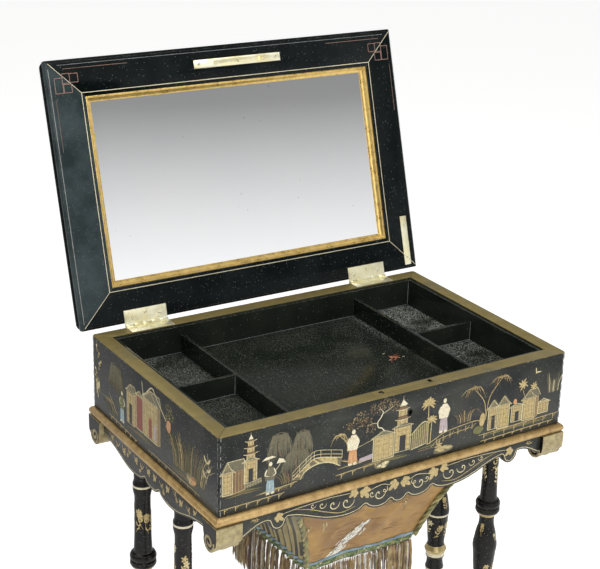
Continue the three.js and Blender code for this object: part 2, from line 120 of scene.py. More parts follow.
def makeStudio():
    makeWorld()
    for name in ("overhead", "key"):
        areaLight(name, *lightSpec[name])
    bm = bmesh.new()
    bmesh.ops.create_grid(bm, x_segments=2, y_segments=2, size=lightSpec["floorSize"] / 2)
    floor = meshObject("floor", bm)
    material, tree, shader = newMaterial("floorPaint")
    cloud = addNode(tree, "ShaderNodeTexNoise", {"Scale": 3.0, "Detail": 3.0})
    tone = mixColour(tree, cloud.outputs[0], (0.86, 0.86, 0.85, 1), (0.9, 0.9, 0.9, 1))
    tree.links.new(tone, shader.inputs["Base Color"])
    shader.inputs["Roughness"].default_value = 0.9
    tree.links.new(tone, shader.inputs["Emission Color"])
    # towards the camera the floor is evenly pale; what it throws on the case fades to the back
    depth = addNode(tree, "ShaderNodeSeparateXYZ", {0: objectPlace(tree)})
    thrown = rangeNode(tree, depth.outputs["Y"], *lightSpec["floorThrow"])
    seen = addNode(tree, "ShaderNodeLightPath").outputs["Is Camera Ray"]
    glow = mixValue(tree, seen, thrown, lightSpec["floorGlow"])
    tree.links.new(glow, shader.inputs["Emission Strength"])
    floor.data.materials.append(material)
    floor.location.z = -0.0005


# ---------- small helpers for nodes and meshes ----------
def addNode(tree, kind, values=None, **settings):
    node = tree.nodes.new(kind)
    for key, value in settings.items():
        setattr(node, key, value)
    for key, value in (values or {}).items():
        if isinstance(value, bpy.types.NodeSocket):
            tree.links.new(value, node.inputs[key])
        else:
            node.inputs[key].default_value = value
    return node


def newMaterial(name):
    material = bpy.data.materials.new(name)
    material.use_nodes = True
    tree = material.node_tree
    return material, tree, tree.nodes["Principled BSDF"]


def mixColour(tree, factor, first, second, blend="MIX"):
    node = addNode(tree, "ShaderNodeMix", {0: factor, 6: first, 7: second}, data_type="RGBA")
    node.blend_type = blend
    return node.outputs[2]


def mathNode(tree, operation, *values, clamp=False):
    inputs = dict(enumerate(values))
    return addNode(tree, "ShaderNodeMath", inputs, operation=operation, use_clamp=clamp).outputs[0]


def rangeNode(tree, value, low, high, start=0.0, end=1.0):
    values = {"Value": value, "From Min": low, "From Max": high, "To Min": start, "To Max": end}
    return addNode(tree, "ShaderNodeMapRange", values).outputs[0]


def mixValue(tree, factor, first, second):
    return addNode(tree, "ShaderNodeMix", {"Factor": factor, "A": first, "B": second}).outputs[0]


def objectPlace(tree):
    return addNode(tree, "ShaderNodeTexCoord").outputs["Object"]


def noiseNode(tree, place, scale, detail, **more):
    return addNode(tree, "ShaderNodeTexNoise", {"Vector": place, "Scale": scale, "Detail": detail, **more}).outputs[0]


def shadedBy(tree, colour, level):
    grey = addNode(tree, "ShaderNodeCombineColor", {0: level, 1: level, 2: level}).outputs[0]
    return mixColour(tree, 1.0, colour, grey, "MULTIPLY")


def bumpNormal(tree, shader, height, strength, distance=0.0004):
    bump = addNode(tree, "ShaderNodeBump", {"Height": height, "Strength": strength, "Distance": distance})
    tree.links.new(bump.outputs[0], shader.inputs["Normal"])


def newGroup(name, inputs, outputs):
    tree = bpy.data.node_groups.new(name, "ShaderNodeTree")
    for label, value in inputs.items():
        socket = tree.interface.new_socket(label, in_out="INPUT", socket_type="NodeSocketFloat")
        socket.default_value = value
    for label in outputs:
        tree.interface.new_socket(label, in_out="OUTPUT", socket_type="NodeSocketFloat")
    return tree, tree.nodes.new("NodeGroupInput"), tree.nodes.new("NodeGroupOutput")


def useGroup(tree, group, values):
    node = addNode(tree, "ShaderNodeGroup", node_tree=group)
    for key, value in values.items():
        node.inputs[key].default_value = value
    return node


def meshObject(name, bm, smooth=False):
    data = bpy.data.meshes.new(name)
    bm.to_mesh(data)
    bm.free()
    for face in data.polygons:
        face.use_smooth = smooth
    obj = bpy.data.objects.new(name, data)
    scene.collection.objects.link(obj)
    return obj


# ---------- shared effects ----------
# Age of a surface in object space: slow clouds, fine specks of dust and hairline scratches.
def makeAgeGroup():
    tree, into, out = newGroup(
        "ageMarks",
        {"Cloud Scale": 9.0, "Speck Scale": 900.0, "Specks": 0.3, "Scratches": 0.4},
        ["Cloud", "Speck", "Scratch", "Height"],
    )
    place = objectPlace(tree)
    cloud = addNode(tree, "ShaderNodeTexNoise", {"Vector": place, "Detail": 5.0, "Roughness": 0.62})
    tree.links.new(into.outputs["Cloud Scale"], cloud.inputs["Scale"])
    speck = addNode(tree, "ShaderNodeTexVoronoi", {"Vector": place, "Randomness": 1.0})
    tree.links.new(into.outputs["Speck Scale"], speck.inputs["Scale"])
    near = rangeNode(tree, speck.outputs["Distance"], 0.16, 0.32, 1.0, 0.0)
    chosen = addNode(tree, "ShaderNodeSeparateColor", {0: speck.outputs["Color"]}).outputs[0]
    sparse = mathNode(tree, "LESS_THAN", chosen, into.outputs["Specks"])
    stretch = addNode(tree, "ShaderNodeMapping", {"Vector": place, "Scale": (300.0, 14.0, 240.0)})
    line = rangeNode(tree, noiseNode(tree, stretch.outputs[0], 1.0, 2.0), 0.66, 0.72)
    tree.links.new(cloud.outputs[0], out.inputs["Cloud"])
    tree.links.new(mathNode(tree, "MULTIPLY", near, sparse), out.inputs["Speck"])
    scratch = mathNode(tree, "MULTIPLY", line, into.outputs["Scratches"])
    tree.links.new(scratch, out.inputs["Scratch"])
    tree.links.new(noiseNode(tree, place, 160.0, 3.0), out.inputs["Height"])
    return tree


# Rubbed edges: where the rounded normal leaves the plain one, broken up by noise.
def makeEdgeGroup():
    tree, into, out = newGroup("rubbedEdges", {"Width": 0.0012, "Amount": 1.0, "Patch Scale": 130.0}, ["Mask"])
    rounded = addNode(tree, "ShaderNodeBevel", samples=4)
    tree.links.new(into.outputs["Width"], rounded.inputs["Radius"])
    shown = addNode(tree, "ShaderNodeNewGeometry").outputs["Normal"]
    same = addNode(tree, "ShaderNodeVectorMath", {0: rounded.outputs[0], 1: shown}, operation="DOT_PRODUCT")
    edge = rangeNode(tree, same.outputs["Value"], 0.975, 0.9)
    place = objectPlace(tree)
    patch = addNode(tree, "ShaderNodeTexNoise", {"Vector": place, "Detail": 4.0, "Roughness": 0.7})
    tree.links.new(into.outputs["Patch Scale"], patch.inputs["Scale"])
    broken = rangeNode(tree, patch.outputs[0], 0.42, 0.62)
    both = mathNode(tree, "MULTIPLY", edge, broken)
    tree.links.new(mathNode(tree, "MULTIPLY", both, into.outputs["Amount"], clamp=True), out.inputs["Mask"])
    return tree


# Gold leaf or paint: mottling, small losses and a fine chipped relief.
def makeGiltGroup():
    tree, into, out = newGroup("rubbedGold", {"Scale": 120.0, "Loss": 0.3}, ["Mottle", "Loss", "Height"])
    place = objectPlace(tree)
    mottle = addNode(tree, "ShaderNodeTexNoise", {"Vector": place, "Detail": 5.0, "Roughness": 0.65})
    tree.links.new(into.outputs["Scale"], mottle.inputs["Scale"])
    finer = mathNode(tree, "MULTIPLY", into.outputs["Scale"], 3.1)
    chips = noiseNode(tree, place, finer, 7.0, Roughness=0.72)
    edge = mathNode(tree, "SUBTRACT", 0.72, mathNode(tree, "MULTIPLY", into.outputs["Loss"], 0.3))
    lost = mathNode(tree, "SUBTRACT", chips, edge)
    tree.links.new(mottle.outputs[0], out.inputs["Mottle"])
    tree.links.new(mathNode(tree, "MULTIPLY", lost, 7.0, clamp=True), out.inputs["Loss"])
    tree.links.new(chips, out.inputs["Height"])
    return tree


ageGroup = makeAgeGroup()
edgeGroup = makeEdgeGroup()
giltGroup = makeGiltGroup()


# ---------- finishes ----------
lacquerSpec = {
    "case": {"dark": (0.004, 0.006, 0.006), "light": (0.036, 0.038, 0.029), "gloss": (0.2, 0.36),
             "specks": 0.05, "wear": 0.75, "cloud": 13.0, "shine": 0.27},
    "inside": {"dark": (0.009, 0.012, 0.009), "light": (0.02, 0.024, 0.018), "gloss": (0.12, 0.24),
               "specks": 0.015, "wear": 1.0, "cloud": 14.0, "shine": 0.2},
    "dusty": {"dark": (0.007, 0.010, 0.007), "light": (0.016, 0.020, 0.014), "gloss": (0.12, 0.24),
              "specks": 0.1, "wear": 0.6, "cloud": 14.0, "shine": 0.12, "dust": 1.0},
    "lid": {"dark": (0.003, 0.005, 0.005), "light": (0.009, 0.013, 0.013), "gloss": (0.14, 0.3),
            "specks": 0.03, "wear": 0.7, "cloud": 16.0, "shine": 0.08},
    "paleRail": {"dark": (0.02, 0.03, 0.031), "light": (0.052, 0.07, 0.073), "gloss": (0.2, 0.36),
              "specks": 0.04, "wear": 0.8, "cloud": 20.0, "shine": 0.12},
    "turned": {"dark": (0.004, 0.004, 0.004), "light": (0.012, 0.011, 0.010), "gloss": (0.2, 0.32),
               "specks": 0.04, "wear": 0.7, "cloud": 30.0, "shine": 0.2},
}
wearColour = (0.22, 0.2, 0.165, 1)
dustColour = (0.4, 0.41, 0.37, 1)


def dustMask(tree):
    # grains of dust, thickest in the end compartments, on the right and at the back
    place = objectPlace(tree)
    split = addNode(tree, "ShaderNodeSeparateXYZ", {0: place})
    across = split.outputs["X"]
    back = rangeNode(tree, split.outputs["Y"], -0.17, 0.07, 0.12, 1.0)
    ends = rangeNode(tree, mathNode(tree, "ABSOLUTE", across), 0.118, 0.15, 0.12, 1.0)
    right = rangeNode(tree, across, -0.05, 0.15, 0.3, 1.0)
    drift = rangeNode(tree, noiseNode(tree, place, 24.0, 4.0), 0.34, 0.52, 0.12, 1.0)
    grains = rangeNode(tree, noiseNode(tree, place, 760.0, 2.0), 0.5, 0.6)
    amount = 1.5
    for part in (back, drift, right, ends):
        amount = mathNode(tree, "MULTIPLY", part, amount)
    return mathNode(tree, "MULTIPLY", amount, grains, clamp=True)


def lacquer(name, spec, giltTop=None):
    material, tree, shader = newMaterial(name)
    age = useGroup(tree, ageGroup, {"Cloud Scale": spec["cloud"], "Specks": spec["specks"]})
    edges = useGroup(tree, edgeGroup, {"Amount": spec["wear"]})
    cloud = rangeNode(tree, age.outputs["Cloud"], 0.35, 0.68)
    colour = mixColour(tree, cloud, (*spec["dark"], 1), (*spec["light"], 1))
    colour = mixColour(tree, age.outputs["Scratch"], colour, (0.05, 0.05, 0.045, 1))
    colour = mixColour(tree, age.outputs["Speck"], colour, dustColour)
    colour = mixColour(tree, edges.outputs[0], colour, wearColour)
    if "dust" in spec:
        colour = mixColour(tree, dustMask(tree), colour, dustColour)
    rough = rangeNode(tree, age.outputs["Cloud"], 0.3, 0.7, spec["gloss"][0], spec["gloss"][1])
    rough = mathNode(tree, "ADD", rough, mathNode(tree, "MULTIPLY", edges.outputs[0], 0.3))
    if giltTop is not None:
        gold = useGroup(tree, giltGroup, {"Scale": 60.0, "Loss": 0.2})
        place = objectPlace(tree)
        height = addNode(tree, "ShaderNodeSeparateXYZ", {0: place}).outputs["Z"]
        onTop = rangeNode(tree, height, giltTop - 0.0011, giltTop - 0.0007)
        kept = mathNode(tree, "SUBTRACT", onTop, mathNode(tree, "MULTIPLY", edges.outputs[0], 0.5), clamp=True)
        shade = mixColour(tree, gold.outputs["Mottle"], (0.15, 0.115, 0.035, 1), (0.34, 0.27, 0.1, 1))
        stain = rangeNode(tree, age.outputs["Cloud"], 0.52, 0.7, 0.0, 0.75)
        shade = mixColour(tree, stain, shade, (0.14, 0.125, 0.085, 1))
        shade = mixColour(tree, gold.outputs["Loss"], shade, (0.05, 0.035, 0.02, 1))
        colour = mixColour(tree, kept, colour, shade)
        rough = mathNode(tree, "ADD", rough, mathNode(tree, "MULTIPLY", kept, 0.22))
        tree.links.new(mathNode(tree, "MULTIPLY", kept, 0.35), shader.inputs["Metallic"])
    tree.links.new(colour, shader.inputs["Base Color"])
    tree.links.new(rough, shader.inputs["Roughness"])
    shader.inputs["Specular IOR Level"].default_value = spec["shine"]
    bumpNormal(tree, shader, age.outputs["Height"], 0.05)
    return material


def gilding(name, dark, light, rough, metal, loss, scale=110.0):
    material, tree, shader = newMaterial(name)
    gold = useGroup(tree, giltGroup, {"Scale": scale, "Loss": loss})
    tone = rangeNode(tree, gold.outputs["Mottle"], 0.3, 0.7)
    colour = mixColour(tree, tone, (*dark, 1), (*light, 1))
    colour = mixColour(tree, gold.outputs["Loss"], colour, (0.05, 0.03, 0.015, 1))
    tree.links.new(colour, shader.inputs["Base Color"])
    tree.links.new(rangeNode(tree, gold.outputs["Loss"], 0, 1, metal, 0.0), shader.inputs["Metallic"])
    tree.links.new(rangeNode(tree, gold.outputs["Mottle"], 0.3, 0.7, rough - 0.08, rough + 0.12),
                   shader.inputs["Roughness"])
    bumpNormal(tree, shader, gold.outputs["Height"], 0.25, 0.0003)
    return material


def plainWood():
    material, tree, shader = newMaterial("plainWood")
    place = objectPlace(tree)
    along = addNode(tree, "ShaderNodeMapping", {"Vector": place, "Scale": (4.0, 90.0, 90.0)}).outputs[0]
    grain = noiseNode(tree, along, 1.6, 6.0)
    tone = rangeNode(tree, grain, 0.35, 0.65)
    colour = mixColour(tree, tone, (0.045, 0.022, 0.011, 1), (0.17, 0.095, 0.045, 1))
    edges = useGroup(tree, edgeGroup, {"Amount": 0.5})
    colour = mixColour(tree, edges.outputs[0], colour, (0.2, 0.13, 0.07, 1))
    tree.links.new(colour, shader.inputs["Base Color"])
    tree.links.new(rangeNode(tree, grain, 0.3, 0.7, 0.75, 0.5), shader.inputs["Roughness"])
    bumpNormal(tree, shader, grain, 0.3)
    return material


def agedBrass():
    material, tree, shader = newMaterial("agedBrass")
    age = useGroup(tree, ageGroup, {"Cloud Scale": 60.0, "Specks": 0.25, "Speck Scale": 700.0})
    tone = rangeNode(tree, age.outputs["Cloud"], 0.35, 0.65)
    colour = mixColour(tree, tone, (0.92, 0.84, 0.5, 1), (1.0, 0.98, 0.76, 1))
    colour = mixColour(tree, mathNode(tree, "MULTIPLY", age.outputs["Speck"], 0.7), colour, (0.2, 0.13, 0.05, 1))
    edges = useGroup(tree, edgeGroup, {"Width": 0.0006, "Amount": 0.6})
    colour = mixColour(tree, edges.outputs[0], colour, (0.3, 0.22, 0.09, 1))
    tree.links.new(colour, shader.inputs["Base Color"])
    shader.inputs["Metallic"].default_value = 0.72
    tree.links.new(rangeNode(tree, age.outputs["Cloud"], 0.3, 0.7, 0.28, 0.5), shader.inputs["Roughness"])
    bumpNormal(tree, shader, age.outputs["Height"], 0.12)
    return material


def silvering():
    material, tree, shader = newMaterial("silvering")
    age = useGroup(tree, ageGroup, {"Cloud Scale": 5.0, "Specks": 0.01, "Speck Scale": 160.0})
    tone = rangeNode(tree, age.outputs["Cloud"], 0.3, 0.7)
    colour = mixColour(tree, tone, (0.93, 0.94, 0.94, 1), (0.97, 0.97, 0.97, 1))
    colour = mixColour(tree, mathNode(tree, "MULTIPLY", age.outputs["Speck"], 0.25), colour, (0.4, 0.4, 0.38, 1))
    tree.links.new(colour, shader.inputs["Base Color"])
    shader.inputs["Metallic"].default_value = 1.0
    tree.links.new(rangeNode(tree, age.outputs["Cloud"], 0.3, 0.7, 0.012, 0.03), shader.inputs["Roughness"])
    return material


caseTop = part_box("front_board")[1].z
caseLacquer = lacquer("caseLacquer", lacquerSpec["case"], giltTop=caseTop)
insideLacquer = lacquer("insideLacquer", lacquerSpec["inside"])
dustyLacquer = lacquer("dustyLacquer", lacquerSpec["dusty"])
lidLacquer = lacquer("lidLacquer", lacquerSpec["lid"])
# the lid's left rail takes a paler, bluer lacquer than the other rails
paleRailLacquer = lacquer("paleRailLacquer", lacquerSpec["paleRail"])
turnedLacquer = lacquer("turnedLacquer", lacquerSpec["turned"])
mouldingGilt = gilding("mouldingGilt", (0.33, 0.2, 0.07), (0.62, 0.43, 0.17), rough=0.42, metal=0.35, loss=0.25)
slipGilt = gilding("slipGilt", (0.56, 0.37, 0.1), (0.86, 0.62, 0.22), rough=0.3, metal=0.75, loss=0.1)
scrollGilt = gilding("scrollGilt", (0.22, 0.17, 0.075), (0.5, 0.42, 0.22), rough=0.45, metal=0.35, loss=0.55)
darkIron = gilding("darkIron", (0.006, 0.006, 0.006), (0.02, 0.018, 0.015), rough=0.5, metal=0.3, loss=0.3)
woodFinish = plainWood()
brassFinish = agedBrass()
mirrorFinish = silvering()

nodeFinish = {
    "front_board": caseLacquer, "right_board": caseLacquer, "back_board": caseLacquer, "left_board": caseLacquer,
    "bottom_board": woodFinish, "bag_frame": woodFinish, "mirror_backing": woodFinish,
    "mirror_slip": slipGilt, "mirror_glass": mirrorFinish, "lid_top_board": lidLacquer,
    "tray_floor": dustyLacquer, "lid_rail_left": paleRailLacquer, "link_plate": brassFinish,
    "stay_plate": brassFinish, "keyhole_liner": darkIron, "lock_case": caseLacquer, "lock_bolt": brassFinish,
}
prefixFinish = {
    "base_moulding": mouldingGilt, "tray_ledge": woodFinish, "tray_": insideLacquer, "apron": caseLacquer,
    "corner_scroll": scrollGilt, "leg_cleat": turnedLacquer, "leg_": turnedLacquer, "foot_rail": turnedLacquer,
    "stretcher": turnedLacquer, "lid_rail": lidLacquer, "hinge_": brassFinish, "bag_fringe": woodFinish,
    "work_bag": woodFinish,
}
softEdge = {"lid_rail": 0.9, "lid_top": 0.9, "tray": 0.4, "board": 0.5, "apron": 0.25, "moulding": 0.4,
            "hinge": 0.2, "plate": 0.25, "lock": 0.2, "foot_rail": 1.6, "bag_frame": 0.8}


# The CAD mesh is loose triangles: they are joined, flat faces cleaned and the edges eased.
def easeEdges(obj, width):
    for face in obj.data.polygons:
        face.use_smooth = True
    weld = obj.modifiers.new("weld", "WELD")
    weld.merge_threshold = 0.00001
    flat = obj.modifiers.new("flat", "DECIMATE")
    flat.decimate_type = "DISSOLVE"
    flat.angle_limit = math.radians(0.6)
    bevel = obj.modifiers.new("ease", "BEVEL")
    bevel.width = width * mm
    bevel.segments = 2
    bevel.limit_method = "ANGLE"
    bevel.angle_limit = math.radians(40)
    bevel.harden_normals = True


def finishNodes():
    for name, obj in frame["nodes"].items():
        match = next((f for p, f in prefixFinish.items() if name.startswith(p)), None)
        finish = nodeFinish.get(name, match)
        obj.data.materials.clear()
        obj.data.materials.append(finish)
        width = next((w for p, w in softEdge.items() if p in name), 0.3)
        if name != "mirror_glass":
            easeEdges(obj, width)


makeCamera()
makeStudio()
finishNodes()
scene.view_settings.view_transform = "Standard"
print("camera, studio and CAD finishes ready")


# ---------- painted gold and colours ----------
paintTones = {
    "gold": ((0.3, 0.22, 0.085), (0.62, 0.49, 0.23), 0.3),
    "pale": ((0.45, 0.37, 0.18), (0.78, 0.69, 0.42), 0.15),
    "cream": ((0.55, 0.48, 0.3), (0.86, 0.8, 0.6), 0.0),
    "mist": ((0.075, 0.07, 0.04), (0.19, 0.165, 0.09), 0.1),
    "brown": ((0.10, 0.055, 0.025), (0.24, 0.14, 0.06), 0.1),
    "orange": ((0.42, 0.17, 0.06), (0.68, 0.36, 0.15), 0.0),
    "red": ((0.16, 0.03, 0.02), (0.33, 0.075, 0.04), 0.0),
    "blue": ((0.13, 0.22, 0.26), (0.33, 0.46, 0.5), 0.0),
    "lilac": ((0.3, 0.23, 0.26), (0.5, 0.42, 0.42), 0.0),
    "green": ((0.07, 0.075, 0.02), (0.2, 0.19, 0.06), 0.1),
    "ink": ((0.004, 0.004, 0.003), (0.012, 0.012, 0.010), 0.0),
    "rose": ((0.2, 0.1, 0.075), (0.42, 0.25, 0.2), 0.0),
    # pale grey: wear on the case corners and tray joints, and painted highlight lines along the lid's edges
    "wearAndHighlight": ((0.13, 0.14, 0.14), (0.34, 0.35, 0.34), 0.0),
    "white": ((0.6, 0.6, 0.57), (0.84, 0.84, 0.81), 0.0),
}
toneIndex = {name: index for index, name in enumerate(paintTones)}
paintFinishes = [
    gilding(f"paint_{name}", dark, light, rough=0.42, metal=metal, loss=0.18, scale=330.0)
    for name, (dark, light, metal) in paintTones.items()
]
paintSpec = {"rise": 0.16, "layer": 0.0012, "layers": 120, "skin": 0.05}
draw = random.Random(11)


def newCanvas():
    return {"bm": bmesh.new(), "count": 0}


def nextHeight(canvas, rise):
    canvas["count"] += 1
    return paintSpec["rise"] * rise + paintSpec["layer"] * (canvas["count"] % paintSpec["layers"])


def smoothLine(points, count):
    # Catmull-Rom through the points, evenly shared between them
    pts = [Vector((p[0], p[1], 0)) for p in points]
    ends = [pts[0] * 2 - pts[1], *pts, pts[-1] * 2 - pts[-2]]
    line = []
    for step in range(count + 1):
        place = step / count * (len(pts) - 1)
        k = min(int(place), len(pts) - 2)
        t = place - k
        a, b, c, d = ends[k : k + 4]
        line.append(0.5 * (2 * b + (c - a) * t + (2 * a - 5 * b + 4 * c - d) * t * t
                           + (3 * b - a - 3 * c + d) * t ** 3))
    return line


def brushLine(points, count):
    if len(points) > 2:
        return smoothLine(points, count)
    return [Vector((*points[0], 0)).lerp(Vector((*points[1], 0)), i / count) for i in range(count + 1)]


def facesOf(verts, index):
    for face in {f for v in verts for f in v.link_faces}:
        face.material_index = index


def stroke(canvas, points, width, tone="gold", taper=(0.5, 0.3), steps=0, rise=1.0):
    # a brush line: full in the middle, thinner towards its ends, slightly raised along its spine
    bm = canvas["bm"]
    count = steps or max(2, 3 * (len(points) - 1))
    line = brushLine(points, count)
    height = nextHeight(canvas, rise)
    verts = bmesh.ops.create_grid(bm, x_segments=count, y_segments=2, size=1)["verts"]
    for vert in verts:
        i = round((vert.co.x + 1) / 2 * count)
        row = round(vert.co.y)
        along = line[min(i + 1, count)] - line[max(i - 1, 0)]
        across = Vector((-along.y, along.x, 0)).normalized()
        t = i / count
        full = min(1, taper[0] + (1 - taper[0]) * t * 5, taper[1] + (1 - taper[1]) * (1 - t) * 4)
        vert.co = line[i] + across * (row * width / 2 * full)
        vert.co.z = height if row == 0 else height * 0.4
    facesOf(verts, toneIndex[tone])


def polyline(canvas, points, width, tone="gold"):
    for start, end in zip(points, points[1:]):
        stroke(canvas, [start, end], width, tone, (1, 1), 1)


def patch(canvas, points, tone, rise=0.5):
    # a filled outline
    bm = canvas["bm"]
    count = len(points)
    height = nextHeight(canvas, rise)
    verts = bmesh.ops.create_circle(bm, cap_ends=True, segments=count, radius=1)["verts"]
    verts.sort(key=lambda vert: math.atan2(vert.co.y, vert.co.x))
    for vert, point in zip(verts, points):
        vert.co = Vector((point[0], point[1], height))
    facesOf(verts, toneIndex[tone])


def blob(canvas, x, y, rx, ry, tone, sides=9, wobble=0.15, turn=0.0, rise=0.7):
    points = []
    for k in range(sides):
        a = math.tau * k / sides
        grow = 1 + draw.uniform(-wobble, wobble)
        px, py = rx * grow * math.cos(a), ry * grow * math.sin(a)
        points.append((x + px * math.cos(turn) - py * math.sin(turn), y + px * math.sin(turn) + py * math.cos(turn)))
    patch(canvas, points, tone, rise)


def leafStroke(canvas, x, y, length, angle, width, tone="gold", bend=0.25):
    dx, dy = math.cos(angle), math.sin(angle)
    mid = (x + dx * length / 2 - dy * length * bend, y + dy * length / 2 + dx * length * bend)
    stroke(canvas, [(x, y), mid, (x + dx * length, y + dy * length)], width, tone, (0.25, 0.05), 5)


def finishCanvas(canvas, name, place, body):
    bm = canvas["bm"]
    bmesh.ops.solidify(bm, geom=bm.faces[:], thickness=-paintSpec["skin"])
    for vert in bm.verts:
        vert.co = place(vert.co.x, vert.co.y, vert.co.z)
    bmesh.ops.recalc_face_normals(bm, faces=bm.faces[:])
    obj = meshObject(name, bm)
    for finish in paintFinishes:
        obj.data.materials.append(finish)
    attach(obj, body)
    return obj


# ---------- motifs of the painted scenes, in millimetres ----------
def house(c, x, y, w, h, roofH, depth=0.0, wall="gold", door=False, lean=0.0):
    # a pavilion front with corner posts, a lattice and a curved roof; depth draws its side to the right
    top = y + h
    patch(c, [(x, y), (x + w, y + lean), (x + w, top + lean), (x, top)], "mist", 0.25)
    patch(c, [(x + 1.4, y + 1.4), (x + w - 1.4, y + 1.4 + lean), (x + w - 1.4, top - 2 + lean), (x + 1.4, top - 2)],
          wall, 0.4)
    for k in range(1, 4):
        stroke(c, [(x + w * k / 4, y + 1), (x + w * k / 4, top - 1)], 0.5, "brown", (1, 1), 1)
    for k in range(1, 5):
        level = y + h * k / 5
        stroke(c, [(x + 1, level), (x + w - 1, level + lean)], 0.4, "brown", (1, 1), 1)
    polyline(c, [(x, y), (x, top), (x + w, top + lean), (x + w, y + lean), (x, y)], 1.1, "pale")
    if door:
        patch(c, [(x + w * 0.34, y), (x + w * 0.7, y), (x + w * 0.7, y + h * 0.62), (x + w * 0.34, y + h * 0.62)],
              "ink", 0.9)
    peak = (x + w / 2, top + roofH)
    patch(c, [(x - 3, top - 1), (x + w + 3, top - 1 + lean), (x + w * 0.62, top + roofH + lean),
              (x + w * 0.38, top + roofH)], "mist", 0.5)
    stroke(c, [(x - 3.6, top - 1.6), (x + w * 0.16, top + roofH * 0.3), peak], 1.1, "pale", (0.8, 0.8), 5)
    stroke(c, [(x + w + 3.6, top - 1.6 + lean), (x + w * 0.84, top + roofH * 0.3), peak], 1.1, "pale", (0.8, 0.8), 5)
    for k in range(1, 5):
        t = k / 5
        ridge = (x + w * (0.4 + 0.2 * t), top + roofH * 0.9)
        stroke(c, [(x - 3 + (w + 6) * t, top - 0.6), ridge], 0.45, "gold", (1, 1), 2)
    stroke(c, [(x - 3.6, top - 1.4), (x + w + 3.6, top - 1.4 + lean)], 1.2, "gold", (1, 1), 2)
    if depth:
        right = x + w
        patch(c, [(right, y), (right + depth, y + 2), (right + depth, top + 1), (right, top)], "brown", 0.3)
        patch(c, [(right + 3, top - 1), (right + depth + 3, top + 1), (right + depth - 2, top + roofH), peak],
              "mist", 0.45)
        polyline(c, [(right, y), (right + depth, y + 2), (right + depth, top + 1)], 0.9, "gold")
        polyline(c, [peak, (right + depth - 2, top + roofH), (right + depth + 3, top + 1)], 0.9, "pale")
        for k in range(1, 4):
            px = right + depth * k / 4
            stroke(c, [(px, y + 1.5), (px, top)], 0.5, "gold", (1, 1), 1)


def pagoda(c, x, y, w, tiers, step):
    width = w
    for tier in range(tiers):
        base = y + tier * step
        patch(c, [(x - width / 2, base), (x + width / 2, base), (x + width / 2, base + step * 0.6),
                  (x - width / 2, base + step * 0.6)], "gold", 0.4)
        stroke(c, [(x - width * 0.25, base), (x - width * 0.25, base + step * 0.6)], 0.7, "ink", (1, 1), 1)
        stroke(c, [(x + width * 0.25, base), (x + width * 0.25, base + step * 0.6)], 0.7, "ink", (1, 1), 1)
        eave = width * 0.5 + 3
        level = base + step * 0.6
        patch(c, [(x - eave, level + 0.6), (x + eave, level + 0.6), (x + width * 0.3, level + step * 0.36),
                  (x - width * 0.3, level + step * 0.36)], "brown", 0.6)
        stroke(c, [(x - eave - 1, level + 1.6), (x - width * 0.3, level), (x, level - 0.2), (x + width * 0.3, level),
                   (x + eave + 1, level + 1.6)], 1.2, "pale", (0.5, 0.5), 8)
        width *= 0.82
    top = y + tiers * step
    patch(c, [(x - width * 0.5, top), (x + width * 0.5, top), (x, top + step * 0.7)], "cream", 0.7)
    stroke(c, [(x, top), (x, top + step)], 0.8, "pale", (1, 0.4), 2)


def jetty(c, x0, y0, x1, y1, posts, drop=6.0, brace=True):
    stroke(c, [(x0, y0), (x1, y1)], 1.1, "gold", (0.8, 0.8), 4)
    for k in range(posts):
        t = (k + 0.5) / posts
        px, py = x0 + (x1 - x0) * t, y0 + (y1 - y0) * t
        stroke(c, [(px, py), (px, py - drop)], 1.0, "gold", (1, 0.8), 2)
        if brace:
            stroke(c, [(px, py - drop * 0.55), (px + drop * 0.8, py)], 0.7, "gold", (1, 1), 2)


def railing(c, points, height, posts):
    line = brushLine(points, posts)
    for p in line:
        stroke(c, [(p.x, p.y), (p.x, p.y + height)], 0.6, "pale", (1, 1), 1)
    for level in (0.45, 1.0):
        stroke(c, [(p.x, p.y + height * level) for p in line], 0.7, "pale", (1, 1), 2 * posts)


def archBridge(c, x0, x1, y, rise, arch):
    # a hump of stone with its arch left black below, and a post-and-rail parapet above
    middle = (x0 + x1) / 2
    deck = [(x0, y), (x0 + (x1 - x0) * 0.3, y + rise * 0.75), (middle, y + rise), (x1, y + rise * 0.62)]
    under = [(x0 + 10, y - 2), (middle - arch * 0.6, y + rise * 0.34), (middle, y + rise * 0.62),
             (middle + arch * 0.6, y + rise * 0.5), (x1 - 2, y + rise * 0.1)]
    deckLine, underLine = smoothLine(deck, 16), smoothLine(under, 16)
    for a, b, d, e in zip(deckLine, deckLine[1:], underLine, underLine[1:]):
        patch(c, [(d.x, d.y), (e.x, e.y), (b.x, b.y), (a.x, a.y)], "mist" if draw.random() < 0.45 else "gold", 0.3)
    stroke(c, deck, 1.3, "pale", (0.8, 0.8), 16)
    stroke(c, under, 1.6, "pale", (0.8, 0.8), 16)
    for a, d in zip(deckLine[::2], underLine[::2]):
        stroke(c, [(a.x, a.y), (d.x * 0.5 + a.x * 0.5, (a.y + d.y) / 2)], 0.5, "brown", (1, 1), 1)
    railing(c, deck, 9.5, 7)


